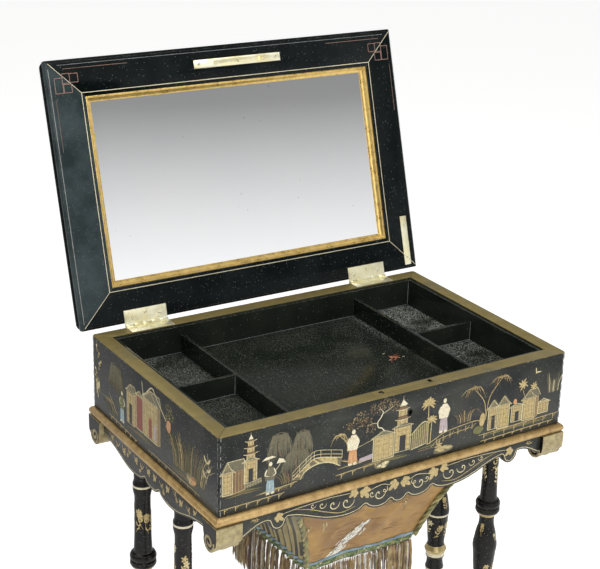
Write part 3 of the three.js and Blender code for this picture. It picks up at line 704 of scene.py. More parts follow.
def willow(c, x, y, w, h, tone="mist", strands=46):
    # a dome of hanging twigs
    for k in range(strands):
        t = (k + 0.5) / strands * 2 - 1
        crown = y + h * math.sqrt(max(0.0, 1 - t * t)) * draw.uniform(0.9, 1.0)
        start = (x + t * w * 0.3, y + h * draw.uniform(0.82, 0.98))
        end = (x + t * w * 0.52 + draw.uniform(-0.6, 0.6), y - h * draw.uniform(0.0, 0.3))
        shoulder = (x + t * w * 0.47, crown - h * 0.08)
        stroke(c, [start, shoulder, (end[0], (shoulder[1] + end[1]) / 2), end], 0.75, tone, (0.6, 0.2), 7, 0.6)
    stroke(c, [(x + w * 0.5 * math.cos(a), y + h * math.sin(a)) for a in [math.pi * k / 10 for k in range(11)]],
           0.7, "mist", (0.4, 0.4), 16)
    stroke(c, [(x + 0.1 * w, y - h * 0.2), (x - 0.05 * w, y + h * 0.3), (x + 0.04 * w, y + h * 0.8)], 1.1, "brown")


def palmTree(c, x, y, top, lean, fronds, reach, trunk=1.2):
    # a trunk with a crown of pointed leaves on all sides
    crown = (x + lean, top)
    stroke(c, [(x, y), (x + lean * 0.3, y + (top - y) * 0.5), crown], trunk, "gold", (1, 0.6), 8)
    for k in range(fronds):
        a = -0.7 + (math.pi + 1.4) * k / (fronds - 1)
        far = reach * draw.uniform(0.85, 1.1)
        tip = (crown[0] + far * math.cos(a), crown[1] + far * math.sin(a) * 0.85 - reach * 0.12)
        mid = (crown[0] + far * 0.5 * math.cos(a), crown[1] + far * 0.5 * math.sin(a) + reach * 0.07)
        stroke(c, [crown, mid, tip], reach * 0.24, "gold", (0.3, 0.05), 6)
    blob(c, crown[0], crown[1], 1.6, 1.4, "gold")


def plumePalm(c, x, y, top, lean, reach, tone="brown"):
    # a leaning stem whose thin feathers arch up and then hang
    crown = (x + lean, top)
    stroke(c, [(x, y), (x + lean * 0.2, y + (top - y) * 0.55), crown], 1.0, "gold", (1, 0.5), 8)
    for k in range(17):
        t = k / 16 * 2 - 1
        far = reach * t * draw.uniform(0.8, 1.05)
        high = reach * (0.34 - 0.2 * abs(t)) * draw.uniform(0.6, 1.1)
        mid = (crown[0] + far * 0.5, crown[1] + high * 0.7)
        tip = (crown[0] + far, crown[1] - reach * draw.uniform(0.15, 0.75) * (0.3 + abs(t)))
        stroke(c, [crown, mid, tip], 0.6, tone if k % 2 else "gold", (0.7, 0.1), 6)


def cloudTree(c, x, y, spots, size=9.0, tone="brown"):
    # foliage drawn as rounds of tiny dabs
    for sx, sy, s in spots:
        for k in range(int(64 * s)):
            a = draw.uniform(0, math.tau)
            r = size * s * math.sqrt(draw.random())
            px, py = x + sx + r * math.cos(a) * 1.2, y + sy + r * math.sin(a) * 0.8
            leafStroke(c, px, py, draw.uniform(1.2, 2.4), a, 0.7, draw.choice((tone, tone, "mist", "gold")), 0.3)


def figure(c, x, y, h, robe, coat, parasol=0.0, trim="cream"):
    # a small robed figure, features left out: two feet, a long skirt, a wide-sleeved coat, a head
    for side in (-1, 1):
        blob(c, x + side * h * 0.07, y + h * 0.03, h * 0.06, h * 0.035, trim)
    patch(c, [(x - h * 0.13, y + h * 0.05), (x + h * 0.14, y + h * 0.05), (x + h * 0.11, y + h * 0.34),
              (x + h * 0.08, y + h * 0.58), (x - h * 0.07, y + h * 0.58), (x - h * 0.12, y + h * 0.3)], robe, 0.6)
    for k in range(4):
        px = x - h * 0.09 + h * 0.06 * k
        stroke(c, [(px, y + h * 0.06), (px + h * 0.01, y + h * 0.4)], 0.55, trim if k % 2 else "gold", (0.6, 0.2), 3)
    patch(c, [(x - h * 0.15, y + h * 0.42), (x + h * 0.12, y + h * 0.4), (x + h * 0.17, y + h * 0.56),
              (x + h * 0.08, y + h * 0.8), (x - h * 0.06, y + h * 0.81), (x - h * 0.17, y + h * 0.6)], coat, 0.75)
    stroke(c, [(x - h * 0.1, y + h * 0.75), (x - h * 0.15, y + h * 0.58), (x - h * 0.02, y + h * 0.54)], h * 0.06, trim)
    stroke(c, [(x + h * 0.1, y + h * 0.75), (x + h * 0.16, y + h * 0.58), (x + h * 0.03, y + h * 0.5)], h * 0.05, trim)
    blob(c, x + h * 0.005, y + h * 0.89, h * 0.052, h * 0.068, "cream", 10, 0.05, 0, 0.95)
    stroke(c, [(x - h * 0.05, y + h * 0.92), (x, y + h * 0.965), (x + h * 0.05, y + h * 0.92)], h * 0.04, "ink")
    if parasol:
        px, py = x + parasol * h * 0.12, y + h * 1.02
        stroke(c, [(px, y + h * 0.6), (px, py + h * 0.06)], 0.7, "gold", (1, 1), 2)
        patch(c, [(px - h * 0.22, py), (px + h * 0.22, py + h * 0.04), (px + h * 0.1, py + h * 0.1),
                  (px - h * 0.1, py + h * 0.09)], "cream", 0.9)


def birdMark(c, x, y, s, tone="pale"):
    stroke(c, [(x, y + s), (x + s * 0.1, y + s * 0.3), (x + s * 0.4, y)], s * 0.2, tone)
    stroke(c, [(x, y - s * 0.1), (x + s * 0.5, y + s * 0.05), (x + s * 1.3, y)], s * 0.24, tone)


def reeds(c, x, y, w, h, count=26, tones=("mist", "brown", "green", "gold")):
    for k in range(count):
        px = x + w * (k + 0.5) / count + draw.uniform(-1, 1)
        lean = (px - x - w / 2) * draw.uniform(0.3, 1.0)
        tall = h * draw.uniform(0.55, 1.0)
        stroke(c, [(px, y), (px + lean * 0.3, y + tall * 0.6), (px + lean, y + tall)], draw.uniform(0.6, 1.1),
               draw.choice(tones), (0.8, 0.1), 5)


def rock(c, x, y, w, h, tone="gold"):
    blob(c, x, y, w / 2, h / 2, "mist", 10, 0.2, 0, 0.3)
    for k in range(4):
        blob(c, x + draw.uniform(-0.3, 0.3) * w, y + draw.uniform(-0.25, 0.3) * h, w * 0.18, h * 0.2, tone, 8, 0.25)


def starLeaf(c, x, y, r, tone="gold", points=8):
    for k in range(points):
        a = math.tau * k / points + 0.3
        leafStroke(c, x, y, r * (1 if k % 2 else 0.8), a, r * 0.26, tone, 0.08)


def ground(c, points):
    # soft washes of brown and olive, drawn as long flat dabs
    for x0, x1, y in points:
        for k in range(7):
            a = draw.uniform(0, 0.4)
            b = draw.uniform(0.6, 1.0)
            level = y + draw.uniform(-2.2, 2.2)
            stroke(c, [(x0 + (x1 - x0) * a, level), ((x0 + x1) / 2, level + 0.8), (x0 + (x1 - x0) * b, level)],
                   draw.uniform(0.7, 1.6), "brown" if k % 2 else "green", (0.1, 0.1), 6, 0.4)


def spray(c, x, y, size, angle, tone="gold", flower=True):
    # a stem with paired leaves and a small open flower
    dx, dy = math.cos(angle), math.sin(angle)
    bend = draw.uniform(-0.2, 0.2)
    tip = (x + dx * size, y + dy * size)
    mid = (x + dx * size * 0.5 - dy * size * bend, y + dy * size * 0.5 + dx * size * bend)
    stroke(c, [(x, y), mid, tip], 0.55, tone, (0.8, 0.6), 6)
    for k in range(3):
        t = 0.2 + 0.24 * k
        px, py = x + (tip[0] - x) * t, y + (tip[1] - y) * t
        for side in (-1, 1):
            if draw.random() < 0.8:
                turn = angle + side * draw.uniform(0.5, 1.0)
                leafStroke(c, px, py, size * 0.26, turn, size * 0.085, tone, side * 0.15)
    if flower:
        petals = draw.choice((5, 6, 8))
        for k in range(petals):
            a = math.tau * k / petals + draw.uniform(-0.1, 0.1)
            leafStroke(c, tip[0], tip[1], size * 0.24, a, size * 0.11, tone, 0.05)
        blob(c, tip[0], tip[1], size * 0.05, size * 0.05, "orange", 7)


# ---------- the four sides of the box ----------
boardBox = {side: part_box(f"{side}_board") for side in ("front", "right", "back", "left")}
caseMiddleY = (boardBox["front"][0].y + boardBox["back"][1].y) / 2
faceAt = {
    "front": boardBox["front"][0].y, "back": boardBox["back"][1].y,
    "left": boardBox["left"][0].x, "right": boardBox["right"][1].x,
}


def sidePlace(side):
    # u runs to the viewer's right, v upwards from the rim, w out of the surface
    if side == "front":
        return lambda u, v, w: Vector((u * mm, faceAt[side] - w * mm, caseTop + v * mm))
    if side == "back":
        return lambda u, v, w: Vector((-u * mm, faceAt[side] + w * mm, caseTop + v * mm))
    if side == "left":
        return lambda u, v, w: Vector((faceAt[side] - w * mm, caseMiddleY - u * mm, caseTop + v * mm))
    return lambda u, v, w: Vector((faceAt[side] + w * mm, caseMiddleY + u * mm, caseTop + v * mm))


def paintWear(side, ends):
    # the worn line down the case's upright corners, and small chips along its top edge
    c = newCanvas()
    low = -(caseTop - boardBox[side][0].z) / mm
    for u in ends:
        inside = 1 if u < 0 else -1
        y = -1.0
        while y > low + 2:
            far = draw.uniform(3, 11)
            stroke(c, [(u + inside * 0.7, y), (u + inside * 0.7 + draw.uniform(-0.15, 0.15), max(low + 1, y - far))],
                   draw.uniform(0.5, 1.1), "wearAndHighlight", (0.4, 0.4), 4)
            y -= far + draw.uniform(0, 3) ** 1.4
    for _ in range(34):
        u = draw.uniform(*ends)
        blob(c, u, -draw.uniform(0.5, 1.4), draw.uniform(0.3, 1.6), draw.uniform(0.2, 0.5), "wearAndHighlight", 7)
    for _ in range(22):
        u, v = draw.uniform(*ends), draw.uniform(low + 3, -3)
        blob(c, u, v, draw.uniform(0.2, 0.55), draw.uniform(0.2, 0.5), "cream", 6)
    finishCanvas(c, f"{side}_wear", sidePlace(side), "table")


def paintFront():
    c = newCanvas()
    ground(c, [(-246, -190, -76), (-215, -150, -84), (-60, 20, -85), (20, 60, -84), (118, 240, -87)])
    # island with a gabled house, a low tower and a slender pagoda
    house(c, -245, -74, 13, 28, 13, depth=16)
    house(c, -217, -65, 16, 28, 4, door=True)
    pagoda(c, -209, -35, 11, 3, 8)
    patch(c, [(-216, -72), (-195, -69), (-195, -62), (-216, -65)], "mist", 0.6)
    railing(c, [(-216, -72), (-195, -69)], 6, 6)
    jetty(c, -249, -91, -164, -90, 6)
    jetty(c, -196, -84, -147, -80, 3, 5)
    figure(c, -183, -87, 43, "blue", "mist", parasol=-0.4)
    patch(c, [(-175, -50), (-163, -51), (-166, -46), (-172, -44)], "cream", 0.9)
    stroke(c, [(-180, -62), (-172, -54), (-169, -48)], 0.8, "pale")
    for x, y, w, h in ((-171, -40, 34, 28), (-141, -42, 28, 26), (-148, -62, 42, 24)):
        willow(c, x, y, w, h)
    reeds(c, -168, -79, 30, 20, 20, ("mist", "brown", "green"))
    archBridge(c, -153, -86, -77, 20, 28)
    # bank with a lady in orange, a little palm and a rock garden
    stroke(c, [(-87, -69), (-78, -72), (-60, -76)], 1.2, "gold")
    plumePalm(c, -78, -60, -36, -12, 13, "gold")
    plumePalm(c, -79, -58, -44, 4, 9, "gold")
    figure(c, -71, -79, 49, "orange", "cream")
    stroke(c, [(-66, -58), (-42, -52)], 0.5, "pale", (1, 1), 2)
    patch(c, [(-62, -79), (-40, -76), (-39, -70), (-61, -73)], "lilac", 0.5)
    jetty(c, -94, -87, -30, -84, 4, 6)
    stroke(c, [(-92, -79), (-40, -77)], 1.0, "gold")
    rock(c, -28, -90, 22, 9, "pale")
    # blossom tree over a lattice house with a tall pagoda and a flight of steps
    stroke(c, [(-26, -46), (-31, -40), (-36, -38), (-37, -31), (-33, -26), (-30, -19), (-35, -14)], 1.3, "cream",
           (1, 0.4), 18)
    stroke(c, [(-37, -33), (-44, -31), (-52, -33)], 0.8, "pale")
    stroke(c, [(-31, -22), (-22, -18), (-14, -14)], 0.8, "pale")
    cloudTree(c, 0, 0, ((-70, -26, 1.0), (-60, -18, 0.9), (-52, -28, 0.7), (-38, -13, 1.0), (-24, -9, 1.0),
                        (-13, -15, 0.8), (-46, -38, 0.6)))
    house(c, -42, -82, 30, 32, 6)
    house(c, -12, -78, 24, 34, 3, door=True)
    pagoda(c, -1, -44, 15, 2, 13)
    patch(c, [(-5, -17), (6, -17), (0, -11)], "cream", 0.95)
    patch(c, [(14, -80), (37, -76), (37, -48), (30, -47), (14, -58)], "mist", 0.3)
    for k in range(8):
        stroke(c, [(15 + 2.9 * k, -79 + 0.5 * k), (15 + 2.9 * k, -58 + 1.4 * k)], 0.8, "gold", (1, 1), 2)
    stroke(c, [(13, -60), (29, -47), (38, -48)], 1.2, "pale")
    stroke(c, [(13, -80), (38, -76)], 1.2, "pale")
    palmTree(c, 38, -79, -24, -1, 10, 11, trunk=1.5)
    palmTree(c, 42, -79, -47, 1, 8, 9, trunk=1.3)
    figure(c, 61, -68, 48, "lilac", "cream")
    # trestle walk to the far island
    stroke(c, [(37, -79), (50, -74), (66, -68), (108, -64), (120, -67)], 1.1, "gold", (1, 1), 14)
    stroke(c, [(44, -83), (60, -75), (108, -71)], 0.8, "gold", (1, 1), 10)
    for x, y in ((52, -75), (62, -72), (72, -69), (84, -68), (96, -67), (106, -66)):
        stroke(c, [(x, y), (x, y - 8)], 0.9, "gold", (1, 1), 2)
        stroke(c, [(x, y - 6), (x + 6, y - 1)], 0.7, "gold", (1, 1), 2)
    rock(c, 62, -91, 30, 10, "gold")
    starLeaf(c, 56, -84, 7, "gold", 6)
    plumePalm(c, 127, -66, -20, -21, 20)
    plumePalm(c, 127, -62, -14, 22, 20)
    reeds(c, 84, -62, 20, 18, 16, ("brown", "mist", "gold"))
    stroke(c, [(100, -50), (112, -48), (122, -58)], 0.8, "brown")
    blob(c, 121, -66, 4.5, 10, "gold")
    blob(c, 116, -78, 8, 6, "green")
    house(c, 131, -82, 15, 30, 10, door=True)
    house(c, 146, -84, 18, 32, 12)
    house(c, 168, -80, 17, 22, 3, door=True)
    blob(c, 173, -52, 3, 4, "orange")
    house(c, 186, -82, 20, 30, 11, depth=5)
    house(c, 212, -78, 16, 16, 4)
    jetty(c, 118, -86, 246, -83, 8, 7)
    jetty(c, 121, -95, 238, -92, 8, 4)
    starLeaf(c, 184, -31, 9)
    starLeaf(c, 202, -37, 7)
    stroke(c, [(184, -38), (187, -46), (190, -52)], 0.7, "gold")
    birdMark(c, 203, -19, 7)
    reeds(c, 226, -52, 16, 30, 16, ("mist", "mist", "pale"))
    finishCanvas(c, "front_painting", sidePlace("front"), "table")


def paintLeft():
    c = newCanvas()
    ground(c, [(-150, -90, -72), (-70, 20, -82), (40, 130, -86)])
    for k in range(9):
        y = -12 - 8 * k
        spray(c, -151 + draw.uniform(-3, 3), y - 6, 9, draw.uniform(0.6, 2.4), "gold" if k % 2 else "pale")
    rock(c, -150, -62, 14, 24, "pale")
    willow(c, -97, -46, 44, 32, "mist", 52)
    figure(c, -80, -86, 44, "blue", "green")
    house(c, -66, -78, 20, 44, 9, depth=4, wall="gold", door=True)
    house(c, -40, -76, 18, 46, 6, wall="red")
    patch(c, [(-24, -8), (-18, -26), (-8, -34), (-22, -34)], "mist", 0.6)
    stroke(c, [(-24, -7), (-20, -24), (-8, -32)], 1.4, "pale")
    house(c, -20, -76, 36, 50, 14, depth=8, wall="gold")
    patch(c, [(-6, -74), (2, -74), (2, -48), (-6, -48)], "red", 0.9)
    patch(c, [(7, -72), (13, -72), (13, -52), (7, -52)], "lilac", 0.9)
    stroke(c, [(-24, -26), (-12, -18), (3, -6), (16, -16), (40, -34)], 1.8, "pale", (0.8, 0.8), 12)
    cloudTree(c, 46, -14, ((0, 0, 0.7), (6, -9, 0.7), (-3, -14, 0.5)), 8, "green")
    blob(c, 46, -38, 6, 8, "orange")
    reeds(c, 58, -80, 76, 48, 70, ("mist", "brown", "green", "gold", "mist"))
    rock(c, 100, -82, 26, 14, "gold")
    blob(c, 108, -80, 7, 5, "orange")
    spray(c, 138, -70, 40, 1.5, "pale", False)
    stroke(c, [(-118, -60), (-104, -74), (-92, -84)], 1.2, "gold")
    stroke(c, [(-118, -70), (-104, -82)], 1.0, "gold")
    jetty(c, -118, -90, -38, -94, 6, 5)
    jetty(c, -8, -92, 122, -92, 7, 4, brace=False)
    reeds(c, -126, -86, 30, 12, 14, ("mist", "green"))
    finishCanvas(c, "left_painting", sidePlace("left"), "table")


def paintRight():
    c = newCanvas()
    ground(c, [(-140, -60, -84), (-40, 60, -80), (70, 145, -86)])
    house(c, -128, -82, 22, 34, 12, depth=18)
    pagoda(c, -92, -62, 14, 3, 12)
    figure(c, -66, -84, 44, "lilac", "cream")
    willow(c, -40, -50, 42, 32)
    archBridge(c, -34, 38, -76, 20, 28)
    palmTree(c, 52, -80, -26, 2, 10, 12)
    figure(c, 68, -84, 43, "orange", "cream", parasol=0.4)
    house(c, 84, -82, 26, 32, 12, door=True)
    cloudTree(c, 122, -28, ((0, 0, 0.9), (10, -8, 0.8), (-10, -9, 0.7)))
    stroke(c, [(124, -80), (119, -60), (126, -46), (121, -34)], 1.3, "cream")
    birdMark(c, 6, -18, 7)
    jetty(c, -142, -92, -40, -90, 7)
    jetty(c, 46, -91, 144, -92, 7)
    finishCanvas(c, "right_painting", sidePlace("right"), "table")


def paintBack():
    c = newCanvas()
    ground(c, [(-230, -120, -85), (-90, 40, -82), (90, 230, -86)])
    for x, w in ((-220, 24), (-176, 20), (150, 26), (196, 22)):
        house(c, x, -82, w, 32, 12, depth=12, door=w > 22)
    pagoda(c, -148, -60, 14, 3, 13)
    pagoda(c, 10, -66, 16, 3, 14)
    for x in (-112, 104):
        willow(c, x, -50, 44, 32)
    archBridge(c, -84, -14, -77, 20, 28)
    cloudTree(c, 52, -26, ((0, 0, 1.0), (14, -6, 0.8), (-14, -8, 0.8)))
    stroke(c, [(54, -80), (48, -62), (56, -46), (51, -34)], 1.4, "cream")
    figure(c, -126, -86, 42, "blue", "mist", parasol=0.4)
    figure(c, 80, -84, 44, "orange", "cream")
    palmTree(c, 134, -80, -22, -2, 10, 12)
    reeds(c, -240, -86, 16, 34, 16)
    birdMark(c, -30, -18, 8)
    birdMark(c, 176, -14, 7)
    for x0, x1 in ((-238, -140), (-12, 76), (120, 240)):
        jetty(c, x0, -92, x1, -91, 7, 5)
    finishCanvas(c, "back_painting", sidePlace("back"), "table")


paintFront()
paintLeft()
paintRight()
paintBack()
print("the four sides painted")


# ---------- lid: lines, key pattern and the painted top ----------
lidJoint = next(j for j in frame["joints"] if j["name"] == "lid_hinge")
hingeLine = Vector(lidJoint["pos_m"])
lidOpen = (Matrix.Translation(hingeLine)
           @ Matrix.Rotation(-math.radians(lidJoint["range_deg"][1]), 4, Vector(lidJoint["axis"]))
           @ Matrix.Translation(-hingeLine))
lidSpec = {"underside": 0.5, "thickness": 21.0, "halfWidth": 261.0, "nearHinge": 3.0, "depth": 342.1,
           "lineInset": 43.8}


def lidInside(u, v, w):
    # u across, v away from the hinge line, w out of the inner face
    low = lidSpec["underside"]
    return lidOpen @ Vector((u * mm, hingeLine.y - v * mm, hingeLine.z + (low - w) * mm))


def lidOutside(u, v, w):
    # u across, v from the middle of the lid towards the hinge, w out of the top
    middle = lidSpec["nearHinge"] + lidSpec["depth"] / 2
    high = lidSpec["underside"] + lidSpec["thickness"] + w
    return lidOpen @ Vector((u * mm, hingeLine.y - (middle - v) * mm, hingeLine.z + high * mm))


def longLine(c, start, end, width, tone, step=30.0):
    # a ruled line with slight worn breaks
    length = math.dist(start, end)
    count = max(2, round(length / step))
    for k in range(count):
        a, b = k / count, (k + 1) / count
        first = [start[i] + (end[i] - start[i]) * a for i in (0, 1)]
        last = [start[i] + (end[i] - start[i]) * b for i in (0, 1)]
        stroke(c, [first, last], width * draw.uniform(0.85, 1.1), tone, (1, 1), 2, 0.5)


def ruledFrame(c, x, low, high, width, tone):
    corners = [(-x, low), (x, low), (x, high), (-x, high)]
    for start, end in zip(corners, corners[1:] + corners[:1]):
        longLine(c, start, end, width, tone)
    return corners


def paintLidInside():
    # the ruled line and its mitres, the key pattern in the far corners, and pale painted highlight lines along the side
    # and far edges
    c = newCanvas()
    x = lidSpec["halfWidth"] - lidSpec["lineInset"]
    low = lidSpec["nearHinge"] + lidSpec["lineInset"]
    high = lidSpec["nearHinge"] + lidSpec["depth"] - lidSpec["lineInset"]
    reach = lidSpec["lineInset"] - 4
    for cx, cy in ruledFrame(c, x, low, high, 0.9, "cream"):
        dx = reach if cx > 0 else -reach
        dy = reach if cy > low + 1 else -reach
        longLine(c, (cx, cy), (cx + dx, cy + dy), 0.7, "cream", 12)
    for side in (-1, 1):
        for inner, outer, y0, y1 in ((219.5, 230.5, 315.5, 326.5), (230.5, 240.5, 315, 327),
                                     (229, 239.5, 303, 313.5), (240.5, 251, 303, 322)):
            x0, x1 = sorted((side * inner, side * outer))
            polyline(c, [(x0, y0), (x1, y0), (x1, y1), (x0, y1), (x0, y0)], 0.7, "rose")
        longLine(c, (side * 238, 333), (side * 150, 333), 0.5, "rose")
        longLine(c, (side * 252, 296), (side * 252, 230), 0.4, "rose")
        # pale lines along the side edges and the far edge: painted highlights on the lid's moulded edges
        longLine(c, (side * 257.5, 12), (side * 257.5, 334), 0.9, "wearAndHighlight", 9)
    longLine(c, (-245, 338), (245, 338), 0.5, "wearAndHighlight", 14)
    finishCanvas(c, "lid_line_painting", lidInside, "lid")


def paintLidTop():
    c = newCanvas()
    halfW, halfH = lidSpec["halfWidth"], lidSpec["depth"] / 2
    for inset, width in ((12, 1.6), (17, 0.7), (40, 1.2)):
        ruledFrame(c, halfW - inset, inset - halfH, halfH - inset, width, "gold")
    x, y = halfW - 28.5, halfH - 28.5
    for k in range(17):
        px = -x + 2 * x * k / 16
        for py in (-y, y):
            spray(c, px, py, 11, 0.0 if k % 2 else math.pi, "gold", k % 2 == 0)
    for k in range(1, 11):
        py = -y + 2 * y * k / 11
        for px in (-x, x):
            spray(c, px, py, 11, math.pi / 2 if k % 2 else -math.pi / 2, "gold", k % 2 == 0)
    ground(c, [(-190, -60, -78), (-80, 60, -92), (40, 200, -70), (-190, -120, -30), (110, 200, -24)])
    house(c, -182, -72, 44, 60, 26, depth=34, door=True)
    pagoda(c, -112, -40, 26, 4, 24)
    willow(c, -58, -6, 78, 62, "mist", 80)
    archBridge(c, -60, 40, -62, 34, 42)
    figure(c, -88, -96, 74, "blue", "mist", parasol=0.4)
    figure(c, 52, -98, 76, "orange", "cream")
    stroke(c, [(80, -66), (70, -30), (86, 2), (74, 34), (92, 60)], 2.2, "cream", (1, 0.4), 20)
    cloudTree(c, 90, 50, ((0, 0, 1.5), (28, -10, 1.3), (-26, -14, 1.2), (14, 20, 1.2), (40, 12, 1.0)), 14)
    house(c, 104, -66, 40, 50, 20, door=True)
    house(c, 152, -62, 34, 44, 18, depth=10)
    palmTree(c, 18, -58, 30, -4, 11, 22, trunk=2.4)
    starLeaf(c, 190, 20, 14)
    birdMark(c, -10, 92, 15)
    birdMark(c, 24, 78, 11)
    birdMark(c, 150, 96, 12)
    jetty(c, -196, -98, -110, -96, 6, 8)
    jetty(c, 86, -88, 200, -90, 8, 8)
    reeds(c, 166, -84, 34, 34, 26)
    finishCanvas(c, "lid_top_painting", lidOutside, "lid")


trayFloor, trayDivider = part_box("tray_floor"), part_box("tray_divider_right")


def trayPlace(u, v, w):
    return Vector((u * mm, caseMiddleY + v * mm, trayFloor[1].z + w * mm))


def paintTray():
    # a small sprig left of the right divider
    c = newCanvas()
    stroke(c, [(88, -16), (96, -5), (104, 2), (113, 4)], 1.2, "red", (0.6, 0.2), 10)
    for k in range(7):
        leafStroke(c, 98 + draw.gauss(0, 3), -4 + draw.gauss(0, 3), draw.uniform(6, 12), k * 0.95, 2.0,
                   draw.choice(("orange", "gold", "red")), 0.2)
    for x, y in ((88, -9), (110, -8), (92, 12)):
        stroke(c, [(x, y), (x + 5, y + 1)], 0.8, "cream", (0.3, 0.2), 4)
    finishCanvas(c, "tray_floor_sprig", trayPlace, "tray")


def paintTrayWear():
    # worn pale lines where the tray's boards meet: left end, right end and top of each, below the rim
    far, near = trayFloor[1].x / mm - 1, trayDivider[1].x / mm + 1
    low = -38.6
    for name, board, left, right, top in (("back", "wall_back", -far, far, -3.0),
                                          ("left", "partition_left", -far, -near, -14.0),
                                          ("right", "partition_right", near, far, -14.0)):
        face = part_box(f"tray_{board}")[0].y

        def place(u, v, w, face=face):
            return Vector((u * mm, face - w * mm, caseTop + v * mm))

        c = newCanvas()
        for u in (left, right):
            stroke(c, [(u, low + 0.1), (u, top)], 0.7, "wearAndHighlight", (0.6, 0.3), 6)
        longLine(c, (left, low), (right, low), 0.5, "wearAndHighlight", 18)
        finishCanvas(c, f"tray_wear_{name}", place, "tray")


# ---------- gilding of the aprons ----------
def heightAt(edge, u):
    # the outline's height at u, averaged over a millimetre each way
    total = 0
    for spot in (u - 1, u, u + 1):
        k = next((i for i in range(1, len(edge)) if edge[i][0] >= spot), len(edge) - 1)
        (u0, v0), (u1, v1) = edge[k - 1], edge[k]
        total += v0 + (v1 - v0) * max(0.0, min(1.0, (spot - u0) / (u1 - u0)))
    return total / 3


def lowerEdge(node, side):
    # the apron's lower outline, read from its front face, from the viewer's left to right
    outline = {}
    for vert in frame["nodes"][node].data.vertices:
        if side in ("front", "back"):
            if abs(vert.co.y - faceAt[side]) > 0.2 * mm:
                continue
            u = vert.co.x / mm * (1 if side == "front" else -1)
        else:
            if abs(vert.co.x - faceAt[side]) > 0.2 * mm:
                continue
            u = (vert.co.y - caseMiddleY) / mm * (1 if side == "right" else -1)
        v = (vert.co.z - caseTop) / mm
        key = round(u, 1)
        outline[key] = min(v, outline.get(key, 0))
    return sorted(outline.items())


def volute(c, x, y, size, turn, facing, width=1.3):
    points = []
    for k in range(13):
        t = k / 12
        a = turn + facing * t * math.pi * 1.75
        r = size * (1 - t) ** 0.8
        points.append((x + r * math.cos(a), y + r * math.sin(a)))
    stroke(c, points, width, "pale", (0.3, 0.9), 20)
    blob(c, x, y, width * 0.75, width * 0.75, "pale", 8)


def acanthus(c, x, y, size, angle):
    for k in range(-1, 2):
        leafStroke(c, x, y, size * (1 if k == 0 else 0.7), angle + k * 0.75, size * 0.42, "gold", 0.12 * k)
    for k in (-1, 1):
        leafStroke(c, x, y, size * 0.45, angle + k * 1.6, size * 0.3, "gold", 0.2 * k)


def paintApron(side):
    c = newCanvas()
    edge = lowerEdge(f"apron_{side}", side)
    # the pale line's distance above the edge, and how far apart its points are
    lift, step = 2.5, 1.5
    count = int((edge[-1][0] - edge[0][0] - 2) / step)
    line = []
    for k in range(count + 1):
        u = edge[0][0] + 1 + k * step
        before, here, after = (heightAt(edge, u + d) for d in (-1, 0, 1))
        slope = max(-1.6, min(1.6, (after - before) / 2))
        long = math.hypot(1, slope)
        line.append((u - slope * lift / long, here + lift / long))
    stroke(c, line, 0.9, "pale", (1, 1), 2 * len(line))
    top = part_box(f"base_moulding_{side}")[0].z / mm - caseTop / mm
    if side in ("front", "back"):
        for s in (-1, 1):
            acanthus(c, s * 6, top - 8, 13, -math.pi / 2 + s * 0.9)
            stroke(c, [(s * 14, top - 9), (s * 24, top - 5), (s * 34, top - 6), (s * 46, top - 9)], 0.8, "pale")
            volute(c, s * 30, top - 16, 10, math.pi / 2 + s * 1.2, s)
            volute(c, s * 22, top - 13, 5, math.pi / 2 + s * 0.6, s, width=1.0)
            volute(c, s * 40, top - 14, 5, math.pi / 2 + s * 2.2, s, width=1.0)
            acanthus(c, s * 52, top - 6, 14, -math.pi / 2 - s * 0.5)
            acanthus(c, s * 64, top - 5, 11, -math.pi / 2 + s * 1.1)
            stroke(c, [(s * 66, top - 5), (s * 84, top - 4), (s * 104, top - 3), (s * 150, top - 5),
                       (s * 176, top - 8)], 0.7, "pale", (0.8, 0.4), 16)
            volute(c, s * 76, top - 15, 10.5, math.pi / 2 + s * 1.4, s)
            volute(c, s * 95, top - 13, 8.5, math.pi / 2 + s * 1.5, s)
            volute(c, s * 111, top - 9.5, 6, math.pi / 2 + s * 1.5, s, width=1.0)
            volute(c, s * 124, top - 7, 4.5, math.pi / 2 + s * 1.5, s, width=0.9)
            stroke(c, [(s * 64, top - 24), (s * 84, top - 27), (s * 104, top - 21), (s * 128, top - 11),
                       (s * 150, top - 5)], 1.0, "gold", (0.4, 0.3), 16)
            acanthus(c, s * 172, top - 8, 11, -math.pi / 2 - s * 0.9)
            spray(c, s * 196, top - 5, 12, 0 if s > 0 else math.pi, "gold", False)
    else:
        for s in (-1, 1):
            for k in range(7):
                u = s * (9 + 17 * k)
                rise = top - 10 - 3 * math.sin(k * 1.7)
                stroke(c, [(u - 5 * s, rise + 4), (u, rise - 2), (u + 5 * s, rise + 3)], 0.8, "pale")
                if k % 2:
                    spray(c, u, rise + 4, 13 if k < 5 else 8, -math.pi / 2 + s * 0.5, "gold")
                else:
                    acanthus(c, u, rise, 8 if k < 5 else 6, -math.pi / 2 - s * 0.5)
                blob(c, u + 4 * s, rise + 3, 1.2, 1.2, "orange")
    finishCanvas(c, f"apron_gilding_{side}", sidePlace(side), "table")


